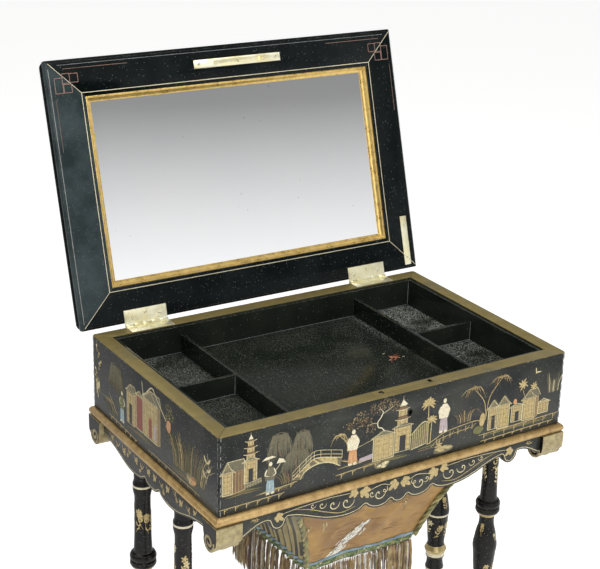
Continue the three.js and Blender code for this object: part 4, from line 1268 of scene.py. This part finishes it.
# ---------- turned legs, stretcher and feet ----------
legSpec = {
    # radius and distance below the rim, from the foot rail up
    "profile": [
        (12, 639.7), (12.5, 634), (16, 632), (16.5, 627), (13, 623), (11.8, 606), (11.4, 585), (15.2, 580),
        (16.6, 573), (15.2, 566), (11.2, 561), (12.6, 530), (15, 500), (15.4, 476), (13.4, 448), (12.4, 431),
        (13.7, 424), (11.9, 417), (11.9, 409), (14, 406), (13.8, 401), (16.2, 394), (12.3, 386), (13.3, 371),
        (15.7, 343), (16.9, 331), (14.6, 316), (10.5, 296), (11, 284), (15, 280), (17, 276), (16.6, 272),
        (15.2, 270.5), (16.8, 268), (17.1, 264.5), (15.5, 261), (12, 259), (10.8, 228), (10.3, 180), (12.2, 171),
        (12.2, 161), (10.8, 158), (10.8, 144.4),
    ],
    "gold": ((278.5, 284.5), (387, 398.5), (566, 572), (624, 630)),
    "cream": ((163.5, 166.3), (398.5, 404.5), (425, 428.5)),
    "backLine": (333.5, 336.5),
    "segments": 56,
    "sprays": ((252, 176, 9), (384, 350, 5), (330, 300, 4), (470, 440, 4), (545, 485, 8), (612, 590, 3)),
}


def radiusAt(profile, drop):
    for (r0, d0), (r1, d1) in zip(profile, profile[1:]):
        if d1 <= drop <= d0:
            return r0 + (r1 - r0) * (d0 - drop) / (d0 - d1)
    return profile[0][0]


def roundProfile(profile):
    # long stretches get in-between rings on a gentle curve; short ones stay crisp
    points, parts = [], 3
    for k in range(len(profile) - 1):
        a, b = profile[k], profile[k + 1]
        before = profile[max(k - 1, 0)]
        after = profile[min(k + 2, len(profile) - 1)]
        points.append(a)
        if abs(a[1] - b[1]) < 12:
            continue
        for step in range(1, parts + 1):
            t = step / (parts + 1)
            slopeA = (b[0] - before[0]) / (b[1] - before[1]) * (b[1] - a[1]) * 0.8
            slopeB = (after[0] - a[0]) / (after[1] - a[1]) * (b[1] - a[1]) * 0.8
            slopeA = max(-2.0, min(2.0, slopeA))
            slopeB = max(-2.0, min(2.0, slopeB))
            h = (2 * t**3 - 3 * t**2 + 1, t**3 - 2 * t**2 + t, -2 * t**3 + 3 * t**2, t**3 - t**2)
            points.append((h[0] * a[0] + h[1] * slopeA + h[2] * b[0] + h[3] * slopeB, a[1] + (b[1] - a[1]) * t))
    points.append(profile[-1])
    return points


def spinPiece(points, place):
    # points are (radius, along the axis) in mm from one closed end to the other
    bm = bmesh.new()
    ends = [(0.0, points[0][1]), *points, (0.0, points[-1][1])]
    verts = [bm.verts.new((r * mm, 0, z * mm)) for r, z in ends]
    edges = [bm.edges.new(pair) for pair in zip(verts, verts[1:])]
    bmesh.ops.spin(bm, geom=verts + edges, cent=(0, 0, 0), axis=(0, 0, 1), angle=math.tau,
                   steps=legSpec["segments"], use_merge=True, dvec=(0, 0, 0))
    bmesh.ops.remove_doubles(bm, verts=bm.verts[:], dist=1e-6)
    bmesh.ops.recalc_face_normals(bm, faces=bm.faces[:])
    bmesh.ops.transform(bm, matrix=place, verts=bm.verts[:])
    return bm


def sharpBySlope(obj, degrees):
    bm = bmesh.new()
    bm.from_mesh(obj.data)
    for edge in bm.edges:
        edge.smooth = len(edge.link_faces) != 2 or edge.calc_face_angle() < math.radians(degrees)
    bm.to_mesh(obj.data)
    bm.free()


def buildLegs():
    profile = roundProfile(legSpec["profile"])
    drops = {d for _, d in profile}
    cuts = [d for band in (*legSpec["gold"], *legSpec["cream"], legSpec["backLine"]) for d in band]
    rings = sorted(drops | set(cuts), reverse=True)
    points = [(radiusAt(profile, d), -d) for d in rings]
    for end in ("front", "back"):
        backLine = (legSpec["backLine"],) if end == "back" else ()
        for side in ("left", "right"):
            low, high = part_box(f"leg_{end}_{side}")
            x, y = (low.x + high.x) / 2, (low.y + high.y) / 2
            place = Matrix.Translation((x, y, caseTop))
            bm = spinPiece(points, place)
            for face in bm.faces:
                drop = (caseTop - face.calc_center_median().z) / mm
                if any(a < drop < b for a, b in legSpec["gold"]):
                    face.material_index = 1
                elif any(a < drop < b for a, b in legSpec["cream"] + backLine):
                    face.material_index = 2
            obj = meshObject(f"turned_leg_{end}_{side}", bm, True)
            for finish in (turnedLacquer, bandGilt, paintFinishes[toneIndex["cream"]]):
                obj.data.materials.append(finish)
            sharpBySlope(obj, 32)
            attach(obj, "table")
            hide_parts(f"leg_{end}_{side}")
            paintLeg(f"{end}_{side}", x, y)


def paintLeg(name, x, y):
    profile = legSpec["profile"]

    def place(u, v, w):
        r = (radiusAt(profile, -v) + w) * mm
        a = u / 13.0
        return Vector((x + r * math.sin(a), y - r * math.cos(a), caseTop + v * mm))

    c = newCanvas()
    for low, high, count in legSpec["sprays"]:
        for k in range(count):
            u = math.tau * 13 * (k + draw.uniform(0.1, 0.6)) / count
            v = -low + (low - high) * draw.uniform(0.1, 0.55)
            size = min(24, (low - high) * draw.uniform(0.35, 0.7))
            spray(c, u, v, size, math.pi / 2 + draw.uniform(-0.5, 0.5), draw.choice(("gold", "gold", "pale")))
    finishCanvas(c, f"leg_gilding_{name}", place, "table")


stretcherSpec = {
    # radius and distance from the end, to the middle
    "half": [(8, 0), (8, 8), (12.5, 10), (12.5, 16), (9, 19), (9.5, 50), (13, 90), (13.6, 120), (10, 150), (9, 160),
             (14, 165), (14, 171), (9.5, 176), (11, 190), (15, 205)],
    "gold": ((10, 16), (165, 171)),
}


def buildStretcher():
    low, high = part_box("stretcher")
    reach = (high.x - low.x) / 2 / mm
    half = stretcherSpec["half"]
    whole = half + [(r, 2 * reach - a) for r, a in reversed(half)]
    start = Vector((low.x, (low.y + high.y) / 2, (low.z + high.z) / 2))
    bm = spinPiece(whole, Matrix.Translation(start) @ Matrix.Rotation(math.pi / 2, 4, "Y"))
    for face in bm.faces:
        along = (face.calc_center_median().x - low.x) / mm
        along = min(along, 2 * reach - along)
        if any(a < along < b for a, b in stretcherSpec["gold"]):
            face.material_index = 1
    obj = meshObject("turned_stretcher", bm, True)
    obj.data.materials.append(turnedLacquer)
    obj.data.materials.append(bandGilt)
    sharpBySlope(obj, 32)
    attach(obj, "table")
    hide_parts("stretcher")


# ---------- corner scrolls ----------
scrollSpec = {
    # the roll: its centre behind the face, below the top, and its radius
    "roll": (17.5, -23.4, 12.2),
    "depth": 34.0, "columns": 16, "bevel": 0.9,
    # the raised spiral on each cheek: points, radius, half width and rise
    "spiral": (34, 10.4, 1.05, 0.9),
}


def buildScroll(name, facing):
    # a console: flat top, bulging leaf-carved face, and a roll underneath with an eye on each cheek
    low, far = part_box(f"corner_scroll_{name}")
    width, depth = (far.x - low.x) / mm, (far.y - low.y) / mm
    front = low.y if facing < 0 else far.y
    rollY, rollZ, rollRadius = scrollSpec["roll"]
    bm = bmesh.new()
    outline = [(0, 0), (0, -16), (1, -22), (5, -26)]
    for k in range(13):
        a = math.pi + 0.25 + (math.pi + 0.1) * k / 12
        outline.append((rollY + rollRadius * math.cos(a), rollZ + rollRadius * math.sin(a)))
    outline += [(30.5, -14), (32, -6), (33, 0)]
    scaleDepth = depth / scrollSpec["depth"]
    ring = [bm.verts.new((-width / 2, d * scaleDepth, v)) for d, v in outline]
    face = bm.faces.new(ring)
    made = bmesh.ops.extrude_face_region(bm, geom=[face])
    moved = [g for g in made["geom"] if isinstance(g, bmesh.types.BMVert)]
    bmesh.ops.translate(bm, vec=(width, 0, 0), verts=moved)
    across = [e for e in bm.edges if abs(e.verts[0].co.x - e.verts[1].co.x) > width * 0.9]
    bmesh.ops.subdivide_edges(bm, edges=across, cuts=scrollSpec["columns"], use_grid_fill=True)
    for vert in bm.verts:
        # flutes of the carved leaf on the face, deepest in the middle of its height
        t = vert.co.x / width * 2
        if abs(t) > 0.94 or vert.co.z > -1:
            continue
        flute = math.cos(t * math.pi * 2.5) * 0.9 + 0.5 * math.cos(t * math.pi)
        middle = Vector((0, 19 * scaleDepth, -18))
        outward = (Vector((0, vert.co.y, vert.co.z)) - middle).normalized()
        if vert.co.y < 22:
            vert.co += outward * flute * 0.42 * min(1, -vert.co.z / 8)
    bmesh.ops.recalc_face_normals(bm, faces=bm.faces[:])
    for face in bm.faces:
        face.material_index = 1 if abs(face.normal.x) > 0.9 else 0
    for cheek in (-1, 1):
        count, radius, halfWidth, high = scrollSpec["spiral"]
        path = []
        for k in range(count):
            t = k / (count - 1)
            a = math.pi * 0.9 + t * math.pi * 3.2
            r = radius * (1 - t) ** 0.9 + 1.2
            path.append(Vector((cheek * width / 2, (rollY + r * math.cos(a)) * scaleDepth, rollZ + r * math.sin(a))))
        path = [p for p in path if p.z < -1.5]
        section = bmesh.ops.create_grid(bm, x_segments=len(path) - 1, y_segments=4, size=1)["verts"]
        for vert in section:
            i = round((vert.co.x + 1) / 2 * (len(path) - 1))
            row = round((vert.co.y + 1) * 2) - 2
            along = path[min(i + 1, len(path) - 1)] - path[max(i - 1, 0)]
            normal = Vector((0, -along.z, along.y)).normalized()
            rise = high * (1 - (row / 2) ** 2) - 0.25
            vert.co = path[i] + normal * row * halfWidth + Vector((cheek * rise, 0, 0))
    bmesh.ops.recalc_face_normals(bm, faces=bm.faces[:])
    turn = Matrix.Rotation(0 if facing < 0 else math.pi, 4, "Z")
    place = Matrix.Translation(((low.x + far.x) / 2, front, far.z)) @ turn @ Matrix.Scale(mm, 4)
    bmesh.ops.transform(bm, matrix=place, verts=bm.verts[:])
    obj = meshObject(f"carved_scroll_{name}", bm, True)
    obj.data.materials.append(scrollGilt)
    obj.data.materials.append(turnedLacquer)
    sharpBySlope(obj, 38)
    bevel = obj.modifiers.new("soften", "BEVEL")
    bevel.width = scrollSpec["bevel"] * mm
    bevel.segments = 2
    bevel.limit_method = "ANGLE"
    bevel.angle_limit = math.radians(60)
    bevel.harden_normals = True
    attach(obj, "table")
    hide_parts(f"corner_scroll_{name}")


# ---------- screws ----------
screwSpec = {
    "radius": 2.5,
    # along each hinge leaf, and the distance from the hinge line of the middle one and the outer two
    "hinge": (-20, 0, 20), "middle": 14, "outer": 9,
    "link": (-58, 0, 58), "linkReach": 322.0,
    "stay": (66, 20),
}


def screwHeads(name, places, body, radius):
    bm = bmesh.new()
    for place in places:
        turn = draw.uniform(0, math.pi)
        matrix = place @ Matrix.Rotation(turn, 4, "Z")
        bmesh.ops.create_cone(bm, cap_ends=True, segments=18, radius1=radius * mm, radius2=radius * 0.86 * mm,
                              depth=0.5 * mm, matrix=matrix @ Matrix.Translation((0, 0, 0.12 * mm)))
        slot = bmesh.ops.create_cube(bm, size=1, matrix=matrix @ Matrix.Translation((0, 0, 0.33 * mm))
                                     @ Matrix.Diagonal((radius * 1.8 * mm, 0.5 * mm, 0.14 * mm, 1)))
        facesOf(slot["verts"], 1)
    obj = meshObject(name, bm)
    obj.data.materials.append(brassFinish)
    obj.data.materials.append(paintFinishes[toneIndex["ink"]])
    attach(obj, body)


def middleX(name):
    low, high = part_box(name)
    return (low.x + high.x) / 2


def onLidFace(x, reach):
    # reach is measured from the hinge line, in mm
    return (lidOpen @ Matrix.Translation((x, hingeLine.y - reach * mm, hingeLine.z + lidSpec["underside"] * mm))
            @ Matrix.Rotation(math.pi, 4, "X"))


def buildScrews():
    onLid, onCase = [], []
    for side in (-1, 1):
        for along in screwSpec["hinge"]:
            x = side * middleX("hinge_leaf_case_right") + along * mm
            reach = screwSpec["outer"] if along else screwSpec["middle"]
            onLid.append(onLidFace(x, reach))
            onCase.append(Matrix.Translation((x, hingeLine.y - reach * mm, caseTop)))
    onLid += [onLidFace(middleX("link_plate") + along * mm, screwSpec["linkReach"]) for along in screwSpec["link"]]
    onLid += [onLidFace(middleX("stay_plate"), reach) for reach in screwSpec["stay"]]
    screwHeads("lid_screws", onLid, "lid", screwSpec["radius"])
    screwHeads("case_screws", onCase, "table", screwSpec["radius"])


halfFront, halfSide = boardBox["front"][1].x / mm, (boardBox["back"][1].y - caseMiddleY) / mm
for sideName, halfRun in (("front", halfFront), ("right", halfSide), ("back", halfFront), ("left", halfSide)):
    paintWear(sideName, (-halfRun + 1, halfRun - 1))
paintLidInside()
paintLidTop()
paintTray()
paintTrayWear()
for sideName in ("front", "right", "back", "left"):
    paintApron(sideName)
bandGilt = gilding("bandGilt", (0.36, 0.27, 0.1), (0.66, 0.54, 0.27), rough=0.34, metal=0.55, loss=0.2)
buildLegs()
buildStretcher()
for scrollName, scrollFacing in (("front_left", -1), ("front_right", -1), ("back_right", 1), ("back_left", 1)):
    buildScroll(scrollName, scrollFacing)
buildScrews()
print("lid, aprons, legs, scrolls and screws made")


# ---------- work bag: gathered silk, cords, galloons and fringe ----------
bagSpec = {
    # distance below the rim, half width and half depth
    "levels": ((104, 137.4, 149.4), (119, 136.4, 148.4), (140, 126, 138), (165, 112, 126), (200, 96, 111),
               (232, 86, 99), (258, 80, 89)),
    "mouth": 104, "hem": 258.0, "belly": 16.0, "pleats": 15, "pleatDepth": 2.6, "bulge": 9.0,
    "columns": 288, "rows": 44, "silk": 0.5,
    "cord": 3.7, "cordTurn": 34.0, "bandLift": 3.0,
    "fringe": (64.0, 76.0), "strands": 270, "strandWidth": 1.05,
}
bagSides = ("front", "right", "back", "left")


def bagSize(drop):
    levels = bagSpec["levels"]
    for (d0, x0, y0), (d1, x1, y1) in zip(levels, levels[1:]):
        if drop <= d1 or d1 == levels[-1][0]:
            t = (drop - d0) / (d1 - d0)
            return x0 + (x1 - x0) * t, y0 + (y1 - y0) * t
    return levels[-1][1:]


def downBag(drop):
    return (drop - bagSpec["mouth"]) / (bagSpec["hem"] - bagSpec["mouth"])


def bagBulge(a, t):
    return bagSpec["bulge"] * math.sin(math.pi * min(1.0, t * 0.85)) * (1 - a * a)


def bagRelief(side, a, drop):
    # creases on the flat front and back, pleats on the two ends
    t = max(0.0, min(1.0, downBag(drop)))
    hold = 1 - abs(a) ** 10
    if side in ("front", "back"):
        sag = 3.4 * math.sin(math.pi * t) * noise.noise(Vector((a * 1.7, t * 1.9, 3.1)))
        fine = 1.5 * noise.noise(Vector((a * 6 + t * 4, t * 7 - a * 2, 9.3)))
        fold = 1.9 * max(0.0, math.sin(a * 8 + t * 9 + 2 * noise.noise(Vector((a * 2, t * 2, 5))))) ** 5
        gather = 0.7 * math.sin(a * 70) * (1 - t) ** 3
        return (sag + fine + fold + gather) * hold
    shift = 0.25 * noise.noise(Vector((a * 3, t * 1.5, 7.7)))
    wave = math.cos(math.pi * (bagSpec["pleats"] * (a + 1) / 2 + shift) * 2)
    pleat = bagSpec["pleatDepth"] * math.copysign(abs(wave) ** 0.6, wave) * (0.3 + 0.7 * t)
    return (pleat + bagBulge(a, t)) * hold


def bagPoint(side, a, drop, out=0.0):
    x, y = bagSize(drop)
    out += bagRelief(side, a, drop)
    spot = {
        "front": (a * x, -y - out),
        "right": (x + out, a * y),
        "back": (-a * x, y + out),
        "left": (-x - out, -a * y),
    }[side]
    return Vector((spot[0] * mm, caseMiddleY + spot[1] * mm, caseTop - drop * mm))


def aroundBag(u):
    k = min(3, int(u * 4))
    return bagSides[k], (u * 4 - k) * 2 - 1


def hemDrop(u):
    side, a = aroundBag(u % 1.0)
    edge = math.cos(a * math.pi / 2)
    return bagSpec["hem"] + edge * (2.5 * math.sin(5 * a + bagSides.index(side)) - 1.5)


def silkFinish(name, dark, light, sheen=0.25):
    material, tree, shader = newMaterial(name)
    place = objectPlace(tree)
    cloud = noiseNode(tree, place, 22.0, 6.0, Roughness=0.62)
    slub = addNode(tree, "ShaderNodeMapping", {"Vector": place, "Scale": (60.0, 60.0, 900.0)})
    thread = noiseNode(tree, slub.outputs[0], 1.0, 3.0)
    colour = mixColour(tree, rangeNode(tree, cloud, 0.32, 0.68), (*dark, 1), (*light, 1))
    faded = rangeNode(tree, noiseNode(tree, place, 48.0, 4.0), 0.56, 0.7, 0.0, 0.45)
    colour = mixColour(tree, faded, colour, tuple(c * 1.25 for c in light) + (1,))
    colour = shadedBy(tree, colour, rangeNode(tree, thread, 0.35, 0.65, 0.86, 1.0))
    tree.links.new(colour, shader.inputs["Base Color"])
    tree.links.new(rangeNode(tree, cloud, 0.3, 0.7, 0.5, 0.68), shader.inputs["Roughness"])
    shader.inputs["Sheen Weight"].default_value = sheen
    bumpNormal(tree, shader, thread, 0.35, 0.0003)
    return material


def threadFinish(name, dark, light):
    # twisted silk thread: slanting bands of light and shade
    material, tree, shader = newMaterial(name)
    place = objectPlace(tree)
    twist = addNode(tree, "ShaderNodeTexWave", {"Vector": place, "Scale": 620.0, "Distortion": 3.0, "Detail": 1.0},
                    bands_direction="Z")
    patchy = noiseNode(tree, place, 90.0, 3.0)
    colour = mixColour(tree, rangeNode(tree, patchy, 0.35, 0.65), (*dark, 1), (*light, 1))
    colour = shadedBy(tree, colour, rangeNode(tree, twist.outputs["Fac"], 0.0, 1.0, 0.55, 1.15))
    tree.links.new(colour, shader.inputs["Base Color"])
    tree.links.new(rangeNode(tree, patchy, 0.3, 0.7, 0.42, 0.62), shader.inputs["Roughness"])
    shader.inputs["Sheen Weight"].default_value = 0.2
    bumpNormal(tree, shader, twist.outputs["Fac"], 0.4, 0.0003)
    return material


def figuredFinish():
    # a woven band of small leaves: green with cream and gold
    material, tree, shader = newMaterial("figuredGalloon")
    place = objectPlace(tree)
    cells = addNode(tree, "ShaderNodeTexVoronoi", {"Vector": place, "Scale": 330.0, "Randomness": 0.8})
    pick = addNode(tree, "ShaderNodeSeparateColor", {0: cells.outputs["Color"]})
    colour = mixColour(tree, rangeNode(tree, pick.outputs[0], 0.3, 0.5), (0.07, 0.12, 0.04, 1), (0.2, 0.27, 0.1, 1))
    colour = mixColour(tree, rangeNode(tree, pick.outputs[1], 0.72, 0.8), colour, (0.5, 0.46, 0.3, 1))
    colour = mixColour(tree, rangeNode(tree, pick.outputs[2], 0.82, 0.88), colour, (0.35, 0.22, 0.06, 1))
    rim = rangeNode(tree, cells.outputs["Distance"], 0.3, 0.62, 0.0, 0.6)
    colour = mixColour(tree, rim, colour, (0.03, 0.045, 0.02, 1))
    tree.links.new(colour, shader.inputs["Base Color"])
    tree.links.new(rangeNode(tree, cells.outputs["Distance"], 0.0, 0.6, 0.5, 0.75), shader.inputs["Roughness"])
    bumpNormal(tree, shader, cells.outputs["Distance"], -0.5, 0.0006)
    return material


def gridPiece(columns, rows, shape):
    # a closed band of cloth round the bag; shape(u, v) gives the point
    bm = bmesh.new()
    bmesh.ops.create_grid(bm, x_segments=columns, y_segments=rows, size=1)
    for vert in bm.verts:
        vert.co = shape((vert.co.x + 1) / 2, (1 - vert.co.y) / 2)
    bmesh.ops.remove_doubles(bm, verts=bm.verts[:], dist=2e-5)
    bmesh.ops.recalc_face_normals(bm, faces=bm.faces[:])
    return bm


def clothPiece(name, bm, finishes, thickness):
    obj = meshObject(name, bm, True)
    for finish in finishes:
        obj.data.materials.append(finish)
    if thickness:
        solid = obj.modifiers.new("cloth", "SOLIDIFY")
        solid.thickness = thickness * mm
        solid.offset = -1
    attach(obj, "table")
    return obj


def buildSilk():
    # the share of the rows above the hem; the rest close the bottom
    share = 0.8
    middle = Vector((0, caseMiddleY, caseTop - (bagSpec["hem"] + bagSpec["belly"]) * mm))

    def shape(u, v):
        side, a = aroundBag(u)
        hem = hemDrop(u)
        if v <= share:
            return bagPoint(side, a, bagSpec["mouth"] + (hem - bagSpec["mouth"]) * v / share)
        s = (v - share) / (1 - share)
        edge = bagPoint(side, a, hem)
        inward = edge.lerp(middle, s)
        inward.z = edge.z + (middle.z - edge.z) * math.sin(s * math.pi / 2)
        return inward

    bm = gridPiece(bagSpec["columns"], bagSpec["rows"], shape)
    for face in bm.faces:
        middleOf = face.calc_center_median()
        x, y = middleOf.x / mm, (middleOf.y - caseMiddleY) / mm
        drop = (caseTop - middleOf.z) / mm
        hx, hy = bagSize(min(drop, bagSpec["hem"]))
        if abs(x) / hx < abs(y) / hy or drop > bagSpec["hem"] + 3:
            continue
        side = "right" if x > 0 else "left"
        a = y / hy * (1 if x > 0 else -1)
        pleat = bagRelief(side, a, drop) - bagBulge(a, downBag(drop))
        # faces in the deep hollows of the end pleats take a near-black silk: painted shade in the pleat hollows
        face.material_index = 2 if pleat < -0.5 else 1
    return clothPiece("bag_silk_panels", bm, (tanSilk, pleatSilk, paintedShadeSilk), bagSpec["silk"])


def bagBand(name, low, high, out, finish, crown):
    def shape(u, v):
        side, a = aroundBag(u)
        drop = hemDrop(u) + low + (high - low) * v - bagSpec["bandLift"]
        rise = out + crown * math.sin(math.pi * v)
        ripple = 0.25 * math.sin(u * math.tau * 90)
        return bagPoint(side, a, min(drop, bagSpec["hem"] + 6), rise + ripple)

    return clothPiece(name, gridPiece(bagSpec["columns"], 6, shape), (finish,), 0.4)


def ropePiece(name, path, radius, turn, finishes):
    # three strands laid together along a path of points, in mm
    bm = bmesh.new()
    lengths = [0.0]
    for a, b in zip(path, path[1:]):
        lengths.append(lengths[-1] + (b - a).length)
    steps = round(lengths[-1] / turn * 10)
    for strand in range(3):
        section = bmesh.ops.create_grid(bm, x_segments=steps, y_segments=6, size=1)["verts"]
        for vert in section:
            along = (vert.co.x + 1) / 2 * lengths[-1]
            k = next((i for i in range(len(lengths) - 1) if along <= lengths[i + 1]), len(lengths) - 2)
            t = (along - lengths[k]) / (lengths[k + 1] - lengths[k])
            spot = path[k].lerp(path[k + 1], t)
            ahead = (path[k + 1] - path[k]).normalized()
            across = ahead.cross(Vector((0.3, 0.5, 0.81))).normalized()
            over = ahead.cross(across)
            lay = math.tau * (along / turn + strand / 3)
            ring = (vert.co.y + 1) / 2 * math.tau
            r = radius * 0.5
            centre = spot + (across * math.cos(lay) + over * math.sin(lay)) * r
            vert.co = centre + (across * math.cos(ring) + over * math.sin(ring)) * radius * 0.54
        facesOf(section, strand % len(finishes))
    bmesh.ops.remove_doubles(bm, verts=bm.verts[:], dist=1e-3)
    bmesh.ops.holes_fill(bm, edges=[e for e in bm.edges if e.is_boundary], sides=0)
    bmesh.ops.recalc_face_normals(bm, faces=bm.faces[:])
    bmesh.ops.transform(bm, matrix=Matrix.Scale(mm, 4), verts=bm.verts[:])
    return clothPiece(name, bm, finishes, 0)


def buildFringe():
    bm = bmesh.new()
    for layer in (0, 1):
        for k in range(bagSpec["strands"]):
            u = (k + 0.5 * layer + draw.uniform(-0.25, 0.25)) / bagSpec["strands"] % 1.0
            side, a = aroundBag(u)
            top = bagPoint(side, a, hemDrop(u) - 1, 0.4 + layer * 1.1) - Vector((0, 0, 4 * mm))
            outward = {"front": (0, -1), "right": (1, 0), "back": (0, 1), "left": (-1, 0)}[side]
            length = draw.uniform(*bagSpec["fringe"]) * mm
            lean = draw.gauss(0, 0.05)
            swell = draw.uniform(0.5, 2.5) * mm
            radius = bagSpec["strandWidth"] * mm * draw.uniform(0.85, 1.15)
            phase = draw.uniform(0, 6)
            strand = bmesh.ops.create_grid(bm, x_segments=4, y_segments=11, size=1)["verts"]
            for vert in strand:
                t = (1 - vert.co.y) / 2
                ring = (vert.co.x + 1) / 2 * math.tau
                thick = radius if 0.01 < t < 0.99 else radius * 0.3
                x, y = thick * 1.3 * math.cos(ring), thick * 0.8 * math.sin(ring)
                turn = t * 11 + phase
                bend = math.sin(t * 3 + phase) * 0.7 * mm * t + lean * length * t
                push = swell * math.sin(min(1.0, t * 2.2) * math.pi / 2)
                spot = Vector((x * math.cos(turn) - y * math.sin(turn), x * math.sin(turn) + y * math.cos(turn),
                               -t * length))
                sideways = Vector((-outward[1], outward[0], 0)) * bend
                vert.co = top + spot + sideways + Vector((outward[0], outward[1], 0)) * push
            tone = draw.choices((0, 1, 2, 3), (5, 3, 3, 1.6 if side in ("front", "left") else 0.4))[0]
            facesOf(strand, tone)
    bmesh.ops.remove_doubles(bm, verts=bm.verts[:], dist=1e-6)
    bmesh.ops.recalc_face_normals(bm, faces=bm.faces[:])
    return clothPiece("bag_bullion_fringe", bm, strandFinishes, 0)


def bagFront(u, v, w):
    x = bagSize(-v)[0]
    return bagPoint("front", u / x, -v, w + 0.15)


def buildTears():
    # shredded white silk, tufts of loosened embroidery and thin brown lines of painted shade in the creases
    c = newCanvas()
    spine = smoothLine([(-6, -200), (-34, -230), (-62, -262)], 24)
    for _ in range(330):
        t = draw.random()
        px, py = spine[min(23, int(t * 24))][:2]
        spread = 1.2 + 9.5 * math.sin(min(1.0, t * 1.1) * math.pi)
        px += draw.gauss(0, 0.5) * spread
        py += draw.gauss(0, 0.4) * spread
        angle = math.atan2(-1, -0.92) + draw.gauss(0, 0.22)
        far = draw.uniform(3, 11)
        ends = [(px - far / 2 * math.cos(angle), py - far / 2 * math.sin(angle)), (px, py + draw.gauss(0, 0.3)),
                (px + far / 2 * math.cos(angle), py + far / 2 * math.sin(angle))]
        ends = [(a, max(b, -bagSpec["hem"] + 4)) for a, b in ends]
        stroke(c, ends, draw.uniform(0.5, 1.5), draw.choice(("white", "white", "cream", "mist")), (0.2, 0.2), 6)
    for cx, cy, spread in ((-77, -181, 9), (43, -182, 8), (-101, -176, 5)):
        for _ in range(9):
            a = -math.pi / 2 + draw.gauss(0, 0.5)
            x, y = cx + draw.gauss(0, spread * 0.3), cy + draw.gauss(0, 3)
            leafStroke(c, x, y, draw.uniform(4, 9), a, 0.9, draw.choice(("green", "pale", "gold")), 0.2)
    # thin brown strokes across the front: painted shade along the silk's creases
    for _ in range(60):
        x, y = draw.uniform(-84, 84), draw.uniform(-246, -150)
        run, fall = draw.uniform(8, 26), draw.uniform(-5, 2)
        stroke(c, [(x, y), (x + run / 2, y + fall / 2 + 1), (x + run, y + fall)], 0.35, "brown", (0.1, 0.1), 6)
    return finishCanvas(c, "bag_torn_threads", bagFront, "table")


def buildBag():
    silk = buildSilk()
    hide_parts("work_bag")
    blue = bagBand("bag_blue_galloon", -8, -3, 0.7, blueThread, 0.9)
    figured = bagBand("bag_figured_galloon", -3, 7, 0.8, figuredFinish(), 1.3)
    fringe = buildFringe()
    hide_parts("bag_fringe")
    pieces = [blue, figured, fringe, buildTears()]
    for k, side in enumerate(bagSides):
        path = [bagPoint(side, 1.0, drop, 1.6) / mm for drop in range(108, 257, 8)]
        outward = (Vector((path[0].x, path[0].y - caseMiddleY / mm, 0))).normalized() * 1.2
        path = [p + outward for p in path]
        pieces.append(ropePiece(f"bag_cord_{k + 1}", path, bagSpec["cord"], bagSpec["cordTurn"], cordFinishes))


tanSilk = silkFinish("tanSilk", (0.21, 0.105, 0.028), (0.39, 0.225, 0.058), 0.08)
pleatSilk = silkFinish("pleatSilk", (0.2, 0.15, 0.045), (0.42, 0.34, 0.13))
# a darkened copy of the pleat silk for the pleat hollows: painted shade
paintedShadeSilk = silkFinish("paintedShadeSilk", (0.02, 0.015, 0.006), (0.07, 0.055, 0.02))
blueThread = threadFinish("blueThread", (0.12, 0.2, 0.25), (0.3, 0.42, 0.48))
cordFinishes = (
    threadFinish("oliveThread", (0.1, 0.095, 0.02), (0.26, 0.23, 0.07)),
    threadFinish("goldThread", (0.22, 0.17, 0.045), (0.5, 0.42, 0.16)),
    threadFinish("greenThread", (0.12, 0.12, 0.025), (0.32, 0.31, 0.1)),
)
strandFinishes = (
    threadFinish("bronzeStrand", (0.19, 0.11, 0.035), (0.42, 0.27, 0.1)),
    threadFinish("brownStrand", (0.08, 0.042, 0.014), (0.2, 0.11, 0.04)),
    threadFinish("goldStrand", (0.26, 0.18, 0.06), (0.5, 0.38, 0.17)),
    threadFinish("whiteStrand", (0.45, 0.42, 0.36), (0.75, 0.72, 0.66)),
)
buildBag()
print("work bag made")
